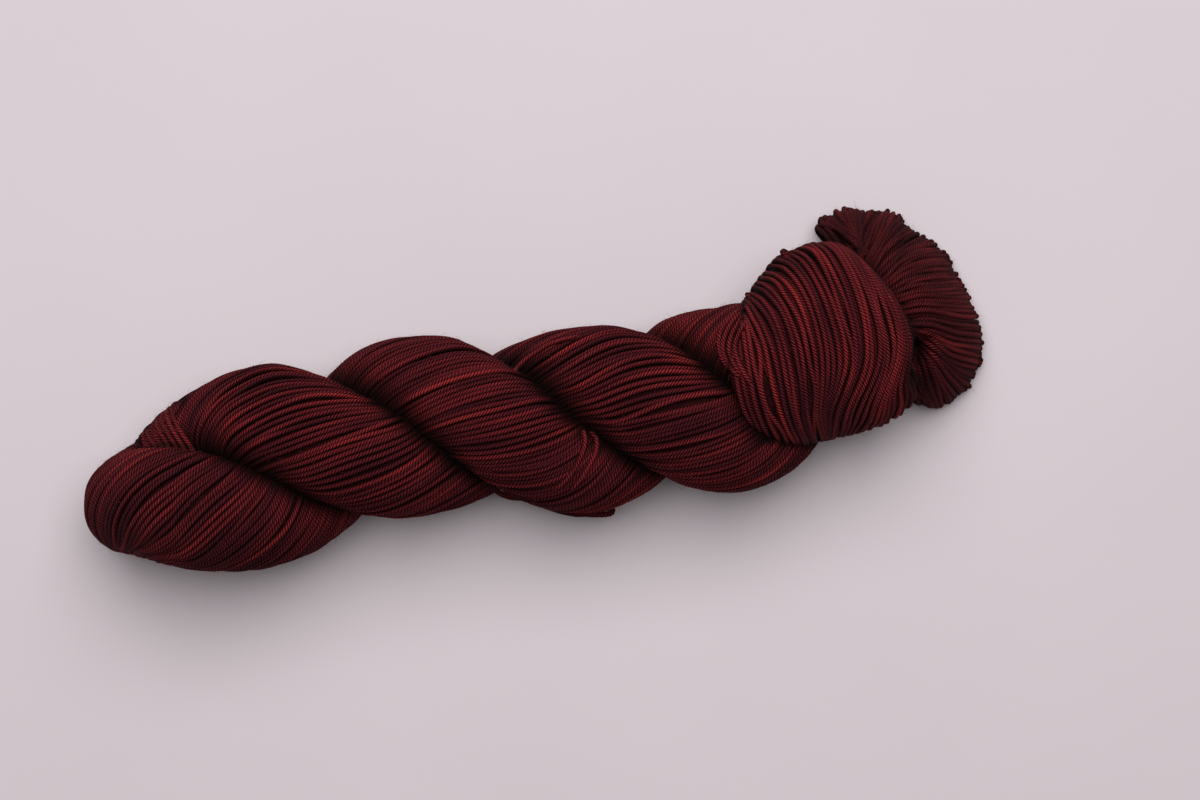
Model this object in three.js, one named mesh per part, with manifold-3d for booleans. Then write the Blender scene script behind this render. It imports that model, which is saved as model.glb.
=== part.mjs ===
// A twisted hank of hand-knitting yarn, lying on a flat surface.
//
// The yarn is wound into one long loop, the loop is twisted hard and folded in half, and the
// two halves twist round each other into a rope. One end of the loop is opened into a sleeve
// over the rope's end, and the rope's last loops are pulled through it and flare out as a fan.
//
// Millimetres. X runs along the hank from the fold to the fan, Z is up, the surface is z = 0
// and the origin is under the middle of the hank.

import * as THREE from 'three';
import { mergeVertices } from 'three/addons/utils/BufferGeometryUtils.js';
import Module from 'manifold-3d';

// ---- Driving dimensions -------------------------------------------------------------------

const STRAND_OFFSET = 12; // from the rope's axis to the middle of each strand of the rope
const FOLD_X = -113.6; // where the two strands part from the round fold at the left end
const FOLD_REACH = 12; // how far the middle of the strand runs past FOLD_X at the fold
const ROPE_HEIGHT = 25.2; // height of the rope's axis over the surface
const SAG = 0.9; // the rope's height against its width, as it settles under its weight
const OVERLAP = 1.5; // how far the strands press into each other past the rope's axis
const FOLD_GAP = 0.05; // the small eye left in the middle of the fold
const ROPE_END_X = 98; // the strands end here, inside the sleeve

// The rope, a row for each quarter turn. turn is the way the second strand lies from the axis,
// 0 towards the back and 90 up, reach is the distance from the axis to the strand's outside,
// half is half the strand's width across, and lean moves the joint towards the second strand.
const ROPE = [
  { x: -134.6, y: -0.6, turn: -88, reach: 28.4, half: 14.8, lean: 0 },
  { x: -113.6, y: -1.0, turn: -74, reach: 29.6, half: 18.6, lean: 0 },
  { x: -87.0, y: 1.4, turn: 0, reach: 31.0, half: 20.0, lean: 0 },
  { x: -61.0, y: 2.1, turn: 87, reach: 29.8, half: 18.0, lean: 0 },
  { x: -38.0, y: 3.3, turn: 174, reach: 28.4, half: 17.5, lean: 4 },
  { x: -13.0, y: -1.0, turn: 264, reach: 28.2, half: 17.2, lean: 6 },
  { x: 12.0, y: -6.6, turn: 357, reach: 29.0, half: 18.2, lean: 1 },
  { x: 37.0, y: -7.2, turn: 447, reach: 29.8, half: 18.5, lean: -2 },
  { x: 62.0, y: -10.8, turn: 541, reach: 29.0, half: 18.0, lean: 0 },
  { x: 87.0, y: -5.0, turn: 624, reach: 27.0, half: 15.0, lean: 0 },
  { x: 112.0, y: 0.0, turn: 700, reach: 16.0, half: 10.0, lean: 0 },
];

// The sleeve, a row for each ring from its open left edge to its neck. y is the middle, side
// is half the width, and rise is half the height.
const SLEEVE = [
  { along: 0.0, y: -6.6, side: 21.8, rise: 23.0 },
  { along: 0.06, y: -5.6, side: 24.0, rise: 24.8 },
  { along: 0.16, y: -4.2, side: 25.8, rise: 26.0 },
  { along: 0.3, y: -2.2, side: 28.0, rise: 26.8 },
  { along: 0.45, y: -0.5, side: 29.8, rise: 27.0 },
  { along: 0.6, y: -0.2, side: 30.0, rise: 27.0 },
  { along: 0.78, y: 0.2, side: 29.7, rise: 26.4 },
  { along: 0.9, y: 0.9, side: 28.2, rise: 25.2 },
  { along: 0.97, y: 1.9, side: 26.0, rise: 23.2 },
  { along: 1.0, y: 2.6, side: 22.6, rise: 20.0 },
];
const SLEEVE_LEFT_X = 61.8; // its left edge at the crown
const SLEEVE_LEFT_DRAW = 7.5; // how much further right that edge lies at the sides
const SLEEVE_RIGHT_X = 110; // its right edge, on average
const SLEEVE_RIGHT_SKEW = 6.2; // that edge leans: further left at the back, right in front
const SLEEVE_RIGHT_CROWN = 8.0; // and it bulges to the right at the crown
const SLEEVE_HEIGHT = 26.4; // height of the sleeve's middle

// The fan's rim, a row for each direction seen from above, with its distance from the neck.
const FAN_RIM = [
  { way: -180, reach: 20 },
  { way: -110, reach: 20 },
  { way: -80, reach: 28 },
  { way: -68, reach: 32.2 },
  { way: -51, reach: 34.2 },
  { way: -34, reach: 33.5 },
  { way: -13, reach: 31.2 },
  { way: 0, reach: 29.3 },
  { way: 15, reach: 28.2 },
  { way: 29, reach: 29.3 },
  { way: 50, reach: 30.4 },
  { way: 62, reach: 31.8 },
  { way: 68, reach: 34.4 },
  { way: 86, reach: 35.5 },
  { way: 97, reach: 38.2 },
  { way: 109, reach: 37.0 },
  { way: 115, reach: 25 },
  { way: 130, reach: 20 },
  { way: 180, reach: 20 },
];
const NECK = new THREE.Vector3(112, 2.1, 23); // the middle of the fan's neck
const FAN_DROOP = 19.5; // how much lower the rim lies than the neck
const NECK_HALF = 17; // half the fan's thickness at the neck
const RIM_HALF = 10; // and towards the rim, before it rounds over

// ---- Tools --------------------------------------------------------------------------------

const toRadians = THREE.MathUtils.degToRad;

// A smooth curve through a table's column, held level past its ends.
function smooth(rows, at, column, value) {
  const last = rows.length - 1;
  const t = THREE.MathUtils.clamp(value, rows[0][at], rows[last][at]);
  let i = 0;
  while (i < last - 1 && t > rows[i + 1][at]) i += 1;
  const slope = (k) => {
    const before = rows[Math.max(k - 1, 0)];
    const after = rows[Math.min(k + 1, last)];
    return (after[column] - before[column]) / (after[at] - before[at]);
  };
  const span = rows[i + 1][at] - rows[i][at];
  const s = (t - rows[i][at]) / span;
  const rise = rows[i + 1][column] - rows[i][column];
  const start = slope(i) * span;
  const end = slope(i + 1) * span;
  return (
    rows[i][column] +
    s * (start + s * (3 * rise - 2 * start - end + s * (start + end - 2 * rise)))
  );
}

// A superellipse's radius at an angle: 2 is round, and more is flatter with fuller corners.
function roundness(cos, sin, power) {
  return (Math.abs(cos) ** power + Math.abs(sin) ** power) ** (-1 / power);
}

// A closed drum whose points are all moved by place(along, angle, fill): along runs from 0 to
// 1, fill is 1 on the wall and 0 in the middle of each end.
function drum(around, steps, place) {
  const geometry = new THREE.CylinderGeometry(1, 1, 1, around, steps);
  const points = geometry.attributes.position;
  for (let i = 0; i < points.count; i += 1) {
    const along = points.getY(i) + 0.5;
    const fill = Math.hypot(points.getX(i), points.getZ(i));
    const angle = Math.atan2(points.getZ(i), points.getX(i));
    points.setXYZ(i, ...place(along, angle, fill).toArray());
  }
  return geometry;
}

// ---- The rope's strands -------------------------------------------------------------------

const OUTER_ROUND = 2.1; // a strand's outside is nearly a circle's arc
const INNER_ROUND = 3; // and its inside is flattened by the other strand

const rope = (column, x) => smooth(ROPE, 'x', column, x);

// A strand's place is its path, an angle: the fold turns from -HALF_FOLD to HALF_FOLD, and
// past it the angle goes on as the way along the rope over FOLD_REACH. The second strand is
// at negative paths and the first at positive ones.
const HALF_FOLD = Math.PI / 2;
const pathAt = (x) => HALF_FOLD + (x - FOLD_X) / FOLD_REACH;
const ROPE_END = pathAt(ROPE_END_X);

// The middle of a strand, still about the rope's axis, with the way out from that axis.
function middle(path) {
  const away = Math.abs(path);
  const folding = away < HALF_FOLD;
  const x = folding ? FOLD_X - FOLD_REACH * Math.cos(away) : FOLD_X + FOLD_REACH * (away - HALF_FOLD);
  const offset = STRAND_OFFSET * (folding ? Math.sin(path) : Math.sign(path));
  const turn = toRadians(rope('turn', x) + 180);
  const outward = new THREE.Vector3(0, Math.cos(turn), Math.sin(turn));
  const point = outward.clone().multiplyScalar(offset).add(new THREE.Vector3(x, rope('y', x), 0));
  return { x, offset, outward, point };
}

// A point of a strand's skin. pressed is how far its flat inside reaches past the rope's axis.
function strandSkin(path, angle, fill, pressed) {
  const step = 0.01;
  const here = middle(path);
  const heading = middle(path + step).point.sub(middle(path - step).point).normalize();
  const side = here.offset / STRAND_OFFSET;
  const outward = here.outward.multiplyScalar(side);
  outward.x = -Math.sqrt(1 - side * side);
  outward.addScaledVector(heading, -outward.dot(heading)).normalize();
  const across = new THREE.Vector3().crossVectors(heading, outward);

  const cos = Math.cos(angle);
  const sin = Math.sin(angle);
  const radius = fill * roundness(cos, sin, cos > 0 ? OUTER_ROUND : INNER_ROUND);
  const depth = cos > 0 ? rope('reach', here.x) - STRAND_OFFSET : STRAND_OFFSET + pressed;
  const skin = here.point
    .addScaledVector(outward, radius * cos * depth)
    .addScaledVector(across, radius * sin * rope('half', here.x));
  skin.z = ROPE_HEIGHT + SAG * skin.z;
  return skin;
}

// The first strand and the whole fold, which ends a little way into the second strand. It
// presses into the second strand only past the fold.
const FOLD_TAIL = 0.8;
const PRESS_FROM = 0.5;
const PRESS_FULL = 1.5;
const firstStrand = drum(28, 52, (along, angle, fill) => {
  const path = THREE.MathUtils.lerp(-HALF_FOLD - FOLD_TAIL, ROPE_END, along);
  const press = THREE.MathUtils.smoothstep(path, HALF_FOLD + PRESS_FROM, HALF_FOLD + PRESS_FULL);
  const full = OVERLAP + rope('lean', middle(path).x);
  return strandSkin(path, angle, fill, THREE.MathUtils.lerp(-FOLD_GAP, full, press));
});

// The second strand starts a little thinner inside the fold and grows out of it.
const ROOT = 0.5;
const ROOT_FILL = 0.92;
const GROWN_FILL = 1.02;
const secondStrand = drum(28, 48, (along, angle, fill) => {
  const path = THREE.MathUtils.lerp(-HALF_FOLD + ROOT, -ROPE_END, along);
  const growth = THREE.MathUtils.smoothstep(-path, HALF_FOLD - ROOT, HALF_FOLD + ROOT);
  const grown = THREE.MathUtils.lerp(ROOT_FILL, GROWN_FILL, growth);
  return strandSkin(path, angle, fill * grown, OVERLAP - rope('lean', middle(path).x));
});

// ---- The sleeve ---------------------------------------------------------------------------

const sleeve = drum(44, 16, (along, angle, fill) => {
  const ring = (column) => smooth(SLEEVE, 'along', column, along);
  const cos = Math.cos(angle);
  const sin = Math.sin(angle);
  const left = SLEEVE_LEFT_X + SLEEVE_LEFT_DRAW * cos * cos;
  const right = SLEEVE_RIGHT_X - SLEEVE_RIGHT_SKEW * cos + SLEEVE_RIGHT_CROWN * sin;
  const edge = THREE.MathUtils.lerp(left, right, along);
  const centre = THREE.MathUtils.lerp(SLEEVE_LEFT_X, SLEEVE_RIGHT_X, along);
  return new THREE.Vector3(
    THREE.MathUtils.lerp(centre, edge, fill),
    ring('y') + fill * ring('side') * cos,
    SLEEVE_HEIGHT + fill * ring('rise') * sin,
  );
});

// ---- The fan ------------------------------------------------------------------------------

const LENS_POWER = 3; // how square the fan's rounded rim is, seen from the side

function fanSkin() {
  const geometry = new THREE.SphereGeometry(1, 48, 16);
  const points = geometry.attributes.position;
  for (let i = 0; i < points.count; i += 1) {
    const way = Math.atan2(points.getZ(i), points.getX(i));
    const height = points.getY(i);
    const out = Math.max(0, 1 - Math.abs(height) ** LENS_POWER) ** (1 / LENS_POWER);
    const reach = out * smooth(FAN_RIM, 'way', 'reach', THREE.MathUtils.radToDeg(way));
    const half = THREE.MathUtils.lerp(NECK_HALF, RIM_HALF, out);
    points.setXYZ(
      i,
      NECK.x + reach * Math.cos(way),
      NECK.y + reach * Math.sin(way),
      NECK.z - FAN_DROOP * out * out + half * height,
    );
  }
  return geometry;
}

// ---- Joining ------------------------------------------------------------------------------

const wasm = await Module();
wasm.setup();

// A closed mesh as a solid, turned right side out if its points were moved inside out.
function solidOf(geometry) {
  geometry.deleteAttribute('normal');
  geometry.deleteAttribute('uv');
  const merged = mergeVertices(geometry, 1e-4);
  const p = merged.attributes.position;
  const index = Array.from(merged.index.array);
  const corner = (k) => new THREE.Vector3().fromBufferAttribute(p, index[k]);
  let volume = 0;
  for (let k = 0; k < index.length; k += 3) {
    volume += corner(k).dot(corner(k + 1).cross(corner(k + 2)));
  }
  if (volume < 0) index.reverse();
  const mesh = new wasm.Mesh({
    numProp: 3,
    vertProperties: new Float32Array(p.array),
    triVerts: new Uint32Array(index),
  });
  return new wasm.Manifold(mesh);
}

// The surface presses flat what would reach below it.
const GROUND = 400;
const ground = new THREE.BoxGeometry(GROUND, GROUND, GROUND).translate(0, 0, -GROUND / 2);

const hankSolid = solidOf(firstStrand)
  .add(solidOf(secondStrand))
  .add(solidOf(sleeve))
  .add(solidOf(fanSkin()))
  .subtract(solidOf(ground));

function geometryOf(solid) {
  const { vertProperties, triVerts } = solid.getMesh();
  const geometry = new THREE.BufferGeometry();
  geometry.setAttribute('position', new THREE.BufferAttribute(vertProperties, 3));
  geometry.setIndex(new THREE.BufferAttribute(triVerts, 1));
  geometry.computeVertexNormals();
  return geometry;
}

const yarn = new THREE.MeshStandardMaterial({
  color: 0x5e1416,
  roughness: 0.85,
  metalness: 0,
});

const hank = new THREE.Mesh(geometryOf(hankSolid), yarn);
hank.name = 'hank';

const part = new THREE.Group();
part.add(hank);

export default part;
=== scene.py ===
# %% [markdown]
# # A twisted hank of hand-dyed yarn
# Hand-knitting yarn is wound into one long loop of many turns. The loop is twisted hard and
# folded in half, and its two halves twist round each other into a rope. One end of the loop is
# opened over the rope's other end as a sleeve, and the rope's last loops come out of it as a fan.
# This lesson lays real threads over the plain solid from the CAD model, the way the yarn runs.
# First the CAD model is loaded. Its solid is the guide that every thread is laid on.

# %% Load the frame
import math
import random
from functools import partial

import bmesh
import bpy
import numpy as np
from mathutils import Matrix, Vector, noise
from mathutils.bvhtree import BVHTree


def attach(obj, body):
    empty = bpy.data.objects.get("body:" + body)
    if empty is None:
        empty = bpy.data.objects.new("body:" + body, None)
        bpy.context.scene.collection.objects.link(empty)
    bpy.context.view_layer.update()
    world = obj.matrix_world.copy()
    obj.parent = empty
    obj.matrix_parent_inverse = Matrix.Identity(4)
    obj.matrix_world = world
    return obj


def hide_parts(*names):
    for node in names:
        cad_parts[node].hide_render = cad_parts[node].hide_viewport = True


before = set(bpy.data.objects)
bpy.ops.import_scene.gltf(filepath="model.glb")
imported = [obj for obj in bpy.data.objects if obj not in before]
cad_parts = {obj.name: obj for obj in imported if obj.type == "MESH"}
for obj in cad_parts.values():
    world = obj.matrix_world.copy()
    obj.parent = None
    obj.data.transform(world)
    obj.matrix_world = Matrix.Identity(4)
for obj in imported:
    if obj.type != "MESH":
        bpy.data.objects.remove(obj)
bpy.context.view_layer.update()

MM = 0.001  # the tables below are in millimetres, and Blender works in metres

# %% [markdown]
# ## Camera
# The camera looks straight down from a metre away. That far off, the near and the far side of
# the hank are drawn at nearly one size, as in a catalogue picture. It is turned a little, so
# that the hank lies aslant with its fan higher up.

# %% Camera
CAMERA_X = 21.1 * MM
CAMERA_Y = -1.9 * MM
CAMERA_HEIGHT = 1.0
CAMERA_TURN = math.radians(-13)
VIEW_LEVEL = 25 * MM  # over the table, about the height of the rope's middle
VIEW_WIDTH = 0.372  # how much the view spans at that level
SENSOR = 36.0
scene = bpy.context.scene


def add_object(name, data):
    """A new object in the scene."""
    thing = bpy.data.objects.new(name, data)
    scene.collection.objects.link(thing)
    return thing


lens = bpy.data.cameras.new("camera")
lens.sensor_width = SENSOR
lens.lens = SENSOR * (CAMERA_HEIGHT - VIEW_LEVEL) / VIEW_WIDTH
lens.clip_start = 0.05
camera = add_object("camera", lens)
camera.location = (CAMERA_X, CAMERA_Y, CAMERA_HEIGHT)
camera.rotation_euler = (0, 0, CAMERA_TURN)
bpy.context.scene.camera = camera
print("lens:", round(lens.lens, 2), "mm")

# %% [markdown]
# ## Nodes for a finish
# A finish is a small tree of nodes: noise gives an uneven value, a ColorRamp turns the value
# into a colour, and the Principled shader shows it. All finishes here begin that way, so the
# steps that they share are short functions. The first one is the table's matt pale paint.

# %% Nodes for a finish
def add_node(tree, kind, inputs=None, **settings):
    """A new node with these values on its inputs and these settings."""
    node = tree.nodes.new(kind)
    for key, value in settings.items():
        setattr(node, key, value)
    for key, value in (inputs or {}).items():
        node.inputs[key].default_value = value
    return node


def noise_node(tree, vector, scale, detail=2.0, roughness=0.5):
    """A noise texture on these coordinates, with lumps about 1 / scale of them wide."""
    node = add_node(tree, "ShaderNodeTexNoise",
                    {"Scale": scale, "Detail": detail, "Roughness": roughness})
    tree.links.new(vector, node.inputs["Vector"])
    return node.outputs["Fac"]


def ramp_node(tree, value, stops):
    """A ColorRamp through (position, colour) stops."""
    node = tree.nodes.new("ShaderNodeValToRGB")
    ramp = node.color_ramp
    while len(ramp.elements) < len(stops):
        ramp.elements.new(0.5)
    for element, (position, colour) in zip(ramp.elements, stops):
        element.position = position
        element.color = (*colour, 1)
    tree.links.new(value, node.inputs["Fac"])
    return node.outputs["Color"]


def new_material(name, looks):
    """A new material with these looks, and its node tree, shader and object coordinates."""
    material = bpy.data.materials.new(name)
    material.use_nodes = True
    tree = material.node_tree
    shader = tree.nodes["Principled BSDF"]
    for key, value in looks.items():
        shader.inputs[key].default_value = value
    where = tree.nodes.new("ShaderNodeTexCoord").outputs["Object"]
    return material, tree, shader, where


def mottled(name, looks, stops, *mottle):
    """A finish whose colour wanders along these stops. Gives also its tree, shader and noise."""
    material, tree, shader, where = new_material(name, looks)
    lumps = noise_node(tree, where, *mottle)
    tree.links.new(ramp_node(tree, lumps, stops), shader.inputs["Base Color"])
    return material, tree, shader, lumps


paint, tree, _, _ = mottled(
    "table paint",
    {"Roughness": 0.7, "Specular IOR Level": 0.2},
    [(0.3, (0.70, 0.625, 0.66)), (0.7, (0.72, 0.645, 0.68))],
    9.0, 3.0,
)
print("table paint:", len(tree.nodes), "nodes")

# %% [markdown]
# ## Table and light
# The hank lies on a plain pale table. One large soft light stands behind it and above, so each
# thread is bright on its far flank and the shadow falls softly towards the front. A dim pale
# world fills the shadow. Both are plain: no picture lights the scene.

# %% Table and light
scene.view_settings.view_transform = "Standard"
TABLE_SIZE = 6.0
LIGHT_PLACE = Vector((0.12, 0.54, 1.32))

bm = bmesh.new()
bmesh.ops.create_grid(bm, x_segments=1, y_segments=1, size=TABLE_SIZE / 2)
table_mesh = bpy.data.meshes.new("table")
bm.to_mesh(table_mesh)
bm.free()
table_mesh.materials.append(paint)
table = add_object("table", table_mesh)

world = bpy.data.worlds.new("soft room")
world.use_nodes = True
background = world.node_tree.nodes["Background"]
background.inputs["Color"].default_value = (1.0, 0.985, 0.99, 1)
background.inputs["Strength"].default_value = 0.114
scene.world = world

light = bpy.data.lights.new("window", "AREA")
light.shape = "SQUARE"
light.size = 1.45
light.energy = 24.2
window = add_object("window", light)
window.location = LIGHT_PLACE
window.rotation_euler = (-LIGHT_PLACE).to_track_quat("-Z", "Y").to_euler()

# %% [markdown]
# ## The shape of the rope
# The threads have to lie on the same shape as the CAD solid, so its table is repeated here.
# Each place in its lists is about a quarter turn of the rope: where its axis is, which way the
# second half of the loop lies from it, how far out the yarn reaches, how wide each half is, and
# how far one half leans into the other. A smooth curve runs through them.

# %% The shape of the rope
ROPE = {  # turn is in degrees, the rest in mm
    "x": [-134.6, -113.6, -87, -61, -38, -13, 12, 37, 62, 87, 112],
    "y": [-0.6, -1.0, 1.4, 2.1, 3.3, -1.0, -6.6, -7.2, -10.8, -5, 0],
    "turn": [-88, -74, 0, 87, 174, 264, 357, 447, 541, 624, 700],
    "reach": [28.4, 29.6, 31, 29.8, 28.4, 28.2, 29, 29.8, 29, 27, 16],
    "half": [14.8, 18.6, 20, 18, 17.5, 17.2, 18.2, 18.5, 18, 15, 10],
    "lean": [0, 0, 0, 0, 4, 6, 1, -2, 0, 0, 0],
}


def smooth(at, values, where):
    """A smooth curve through the points (at, values), held level past its ends."""
    at = np.asarray(at, float)
    values = np.asarray(values, float)
    slope = np.empty(len(at))
    slope[1:-1] = (values[2:] - values[:-2]) / (at[2:] - at[:-2])
    slope[0] = (values[1] - values[0]) / (at[1] - at[0])
    slope[-1] = (values[-1] - values[-2]) / (at[-1] - at[-2])
    t = np.clip(where, at[0], at[-1])
    i = np.clip(np.searchsorted(at, t) - 1, 0, len(at) - 2)
    span = at[i + 1] - at[i]
    s = (t - at[i]) / span
    rise = values[i + 1] - values[i]
    a = slope[i] * span
    b = slope[i + 1] * span
    return values[i] + s * (a + s * (3 * rise - 2 * a - b + s * (a + b - 2 * rise)))


def smooth_places(places, where):
    """The same for a list of places, numbered from 0."""
    return np.stack([smooth(range(len(places)), [p[j] for p in places], where) for j in (0, 1)], -1)


def rope(column, x):
    """A column of the rope's table at x."""
    return smooth(ROPE["x"], ROPE[column], x)


print("the halves go round each other", round((ROPE["turn"][-1] - ROPE["turn"][0]) / 360, 1), "times")

# %% [markdown]
# ## A strand of the rope
# One half of the loop is one strand of the rope. A place on a strand's skin is given by the
# path along the loop and the angle round the strand. The path is 0 at the tip of the fold and
# grows by 1 in each 12 mm. On one side of 0 it runs along the first strand, on the other side
# along the second, so one function makes the skin of both.

# %% A strand of the rope
STRAND_OFFSET = 12  # mm from the rope's axis to the middle of each strand
FOLD_X = -113.6  # mm, where the two strands leave the fold
FOLD_REACH = 12  # mm the fold's tip lies further left
HALF_FOLD = math.pi / 2  # the path from the tip to there
ROPE_HEIGHT = 25.2  # mm from the table to its axis
SAG = 0.9  # the rope's height against its width
OVERLAP = 1.5  # mm each strand reaches past the rope's axis, into the other one
FOLD_GAP = 0.05  # mm it stays short of the axis at the fold
ROPE_END_X = 98  # mm, where the strands end, hidden in the sleeve
FOLD_FREE = 0.5  # on the path: so far past the fold they begin to press on each other


def strand_middle(path):
    """The middle of a strand about the rope's axis, and the way out from that axis."""
    away = np.abs(path)
    folding = away < HALF_FOLD
    x = np.where(
        folding,
        FOLD_X - FOLD_REACH * np.cos(np.minimum(away, HALF_FOLD)),
        FOLD_X + FOLD_REACH * (away - HALF_FOLD),
    )
    side = np.where(folding, np.sin(path), np.sign(path))
    turn = np.radians(rope("turn", x) + 180)
    outward = np.stack([0 * x, np.cos(turn), np.sin(turn)], -1)
    point = outward * (STRAND_OFFSET * side)[..., None]
    point[..., 0] += x
    point[..., 1] += rope("y", x)
    return x, side, outward, point


def unit(v):
    """These vectors, each one long."""
    return v / np.linalg.norm(v, axis=-1, keepdims=True)


def strand_skin(path, angle, inset):
    """Points of a strand's skin, set inward by inset mm. Angle 0 faces out from the rope."""
    path, angle = np.broadcast_arrays(np.asarray(path, float), np.asarray(angle, float))
    x, side, outward, point = strand_middle(path)
    step = 0.01
    heading = unit(strand_middle(path + step)[3] - strand_middle(path - step)[3])
    out = outward * side[..., None]
    out[..., 0] = -np.sqrt(np.maximum(0, 1 - side * side))
    out = unit(out - heading * (out * heading).sum(-1, keepdims=True))
    across = np.cross(heading, out)
    cos = np.cos(angle)
    sin = np.sin(angle)
    lean = rope("lean", x)
    full = np.where(path > 0, OVERLAP + lean, OVERLAP - lean)
    press = np.clip(np.abs(path) - HALF_FOLD - FOLD_FREE, 0, 1)
    pressed = -FOLD_GAP + (full + FOLD_GAP) * press * press * (3 - 2 * press)
    depth = np.where(cos > 0, rope("reach", x) - STRAND_OFFSET, STRAND_OFFSET + pressed) - inset
    width = rope("half", x) - inset
    skin = point + out * (cos * depth)[..., None] + across * (sin * width)[..., None]
    skin[..., 2] = ROPE_HEIGHT + SAG * skin[..., 2]
    return skin


ROPE_END = HALF_FOLD + (ROPE_END_X - FOLD_X) / FOLD_REACH
print("path of each strand from the fold:", round(ROPE_END, 2))

# %% [markdown]
# ## Stations along the loop
# The loop was twisted before it was folded, so its threads wind round each half like the
# wires of a cable: about one turn in 52 mm, and tighter at the fold. Here the way along the
# middle of the loop is cut into stations, and each gets its share of that twist. Where the
# twist is tight the stations stand closer, so that a thread's steps stay about as long.

# %% Stations along the loop
# how fast the threads wind, in radians for each mm of the loop, by the way from the fold's tip
TWIST_AT = [-300, -240, -220, -200, -180, -150, -120, -100, -80, -60, -30, 0, 20,
            40, 60, 80, 100, 115, 130, 145, 160, 175, 190, 220, 300]
TWIST = [.138, .132, .117, .103, .107, .105, .087, .117, .108, .098, .183, .26, .106,
         .132, .139, .133, .128, .115, .124, .106, .114, .202, .06, .131, .25]
THREAD_STEP = 1.65  # mm of thread between two stations
FINE = 6001  # points to measure the loop by
STRAND_HALF = 17.5  # mm, about how far the threads are from the middle of their strand


def sums(steps):
    """The running sum of the steps, from 0."""
    return np.concatenate([[0], np.cumsum(steps)])


def way_along(points):
    """The way along a line at each of its points."""
    return sums(np.linalg.norm(np.diff(points, axis=0), axis=1))


fine_path = np.linspace(-ROPE_END, ROPE_END, FINE)
fine_way = way_along(strand_middle(fine_path)[3])
fine_way -= np.interp(0, fine_path, fine_way)
fine_rate = np.interp(fine_way, TWIST_AT, TWIST)
fine_phase = sums((fine_rate[1:] + fine_rate[:-1]) / 2 * np.diff(fine_way))
fine_phase -= np.interp(0, fine_path, fine_phase)
fine_thread = sums(np.hypot(np.diff(fine_way), STRAND_HALF * np.diff(fine_phase)))
station_count = int(fine_thread[-1] / THREAD_STEP)
station_thread = np.linspace(0, fine_thread[-1], station_count)
station_path = np.interp(station_thread, fine_thread, fine_path)
station_way = np.interp(station_thread, fine_thread, fine_way)
station_phase = np.interp(station_thread, fine_thread, fine_phase)
print("stations:", station_count, "loop:", round(fine_way[-1] - fine_way[0]), "mm")

# %% [markdown]
# ## Round a strand
# A strand isn't round: it is pressed flatter where it meets the other one. Threads lie evenly
# on its skin, so a thread's place is a fraction of the way round, and 0.5 is the side that faces
# outward. A table measured on the strand's section turns that fraction into an angle.

# %% Round a strand
SECTION = (17, 13.5, 18)  # mm, a strand's reach outward and inward, and half its width
RING = 721  # points to measure the section by

ring_angle = np.linspace(-math.pi, math.pi, RING)
ring_x = np.cos(ring_angle) * np.where(np.cos(ring_angle) > 0, SECTION[0], SECTION[1])
ring_y = np.sin(ring_angle) * SECTION[2]
ring_way = sums(np.hypot(np.diff(ring_x), np.diff(ring_y)))
RING_LENGTH = ring_way[-1]


def angle_round(fraction):
    """The angle round a strand at a fraction of the way round its skin."""
    return np.interp(np.mod(fraction, 1.0), ring_way / RING_LENGTH, ring_angle)


print("round a strand:", round(RING_LENGTH, 1), "mm")

# %% [markdown]
# ## The shape of the sleeve
# The sleeve is a short wide tube. A table gives its section from left to right, and both its
# edges are skewed, as the yarn there is pulled more to one side. Where the fan's pit lies its
# right edge draws back.

# %% The shape of the sleeve
SLEEVE = {
    "along": [0, .06, .16, .3, .45, .6, .78, .9, .97, 1],
    "y": [-6.6, -5.6, -4.2, -2.2, -.5, -.2, .2, .9, 1.9, 2.6],
    "side": [21.8, 24, 25.8, 28, 29.8, 30, 29.7, 28.2, 26, 22.6],
    "rise": [23, 24.8, 26, 26.8, 27, 27, 26.4, 25.2, 23.2, 20],
}
SLEEVE_LEFT_X = 61.8  # mm, its left edge at the crown
SLEEVE_LEFT_DRAW = 7.5  # mm that edge lies further right at the front and the back
SLEEVE_RIGHT_X = 110  # mm, its right edge, about
SLEEVE_RIGHT_SKEW = 6.2  # mm further right at the front, and less far at the back
SLEEVE_RIGHT_CROWN = 8.0  # mm further right at the crown, and less far underneath
SLEEVE_CROWN_BACK = 1.2  # mm the yarn at the crown stands back from that
SLEEVE_BITE = 3.8  # mm it draws back beside the pit in the fan
BITE_ANGLE = math.radians(135)
BITE_WIDTH = 0.06
SLEEVE_HEIGHT = 26.4  # mm from the table to its middle


def sleeve_skin(along, angle, inset):
    """Points of the sleeve, inset mm below its skin. At angle 0 they face back, at 90 up."""
    cos = np.cos(angle)
    sin = np.sin(angle)
    left = SLEEVE_LEFT_X + SLEEVE_LEFT_DRAW * cos * cos
    right = SLEEVE_RIGHT_X - SLEEVE_RIGHT_SKEW * cos + SLEEVE_RIGHT_CROWN * sin
    bite = np.exp((np.cos(angle - BITE_ANGLE) - 1) / BITE_WIDTH)
    right -= SLEEVE_CROWN_BACK * np.maximum(sin, 0) + SLEEVE_BITE * bite
    y, side, rise = (smooth(SLEEVE["along"], SLEEVE[c], along) for c in ("y", "side", "rise"))
    return np.stack([
        left + (right - left) * along,
        y + (side - inset) * cos,
        SLEEVE_HEIGHT + (rise - inset) * sin,
    ], -1)


crown = sleeve_skin(np.array([0.0, 1.0]), math.radians(90), 0)
print("sleeve:", (crown[1] - crown[0])[0].round(1), "mm long at its crown")

# %% [markdown]
# ## The shape of the fan
# The fan is like a thick lens that droops. Its rim is given by its distance from the neck in
# each direction, and its top and underside bend to meet there. By the sleeve's edge its top has
# a deep pit where the loops part.

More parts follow.
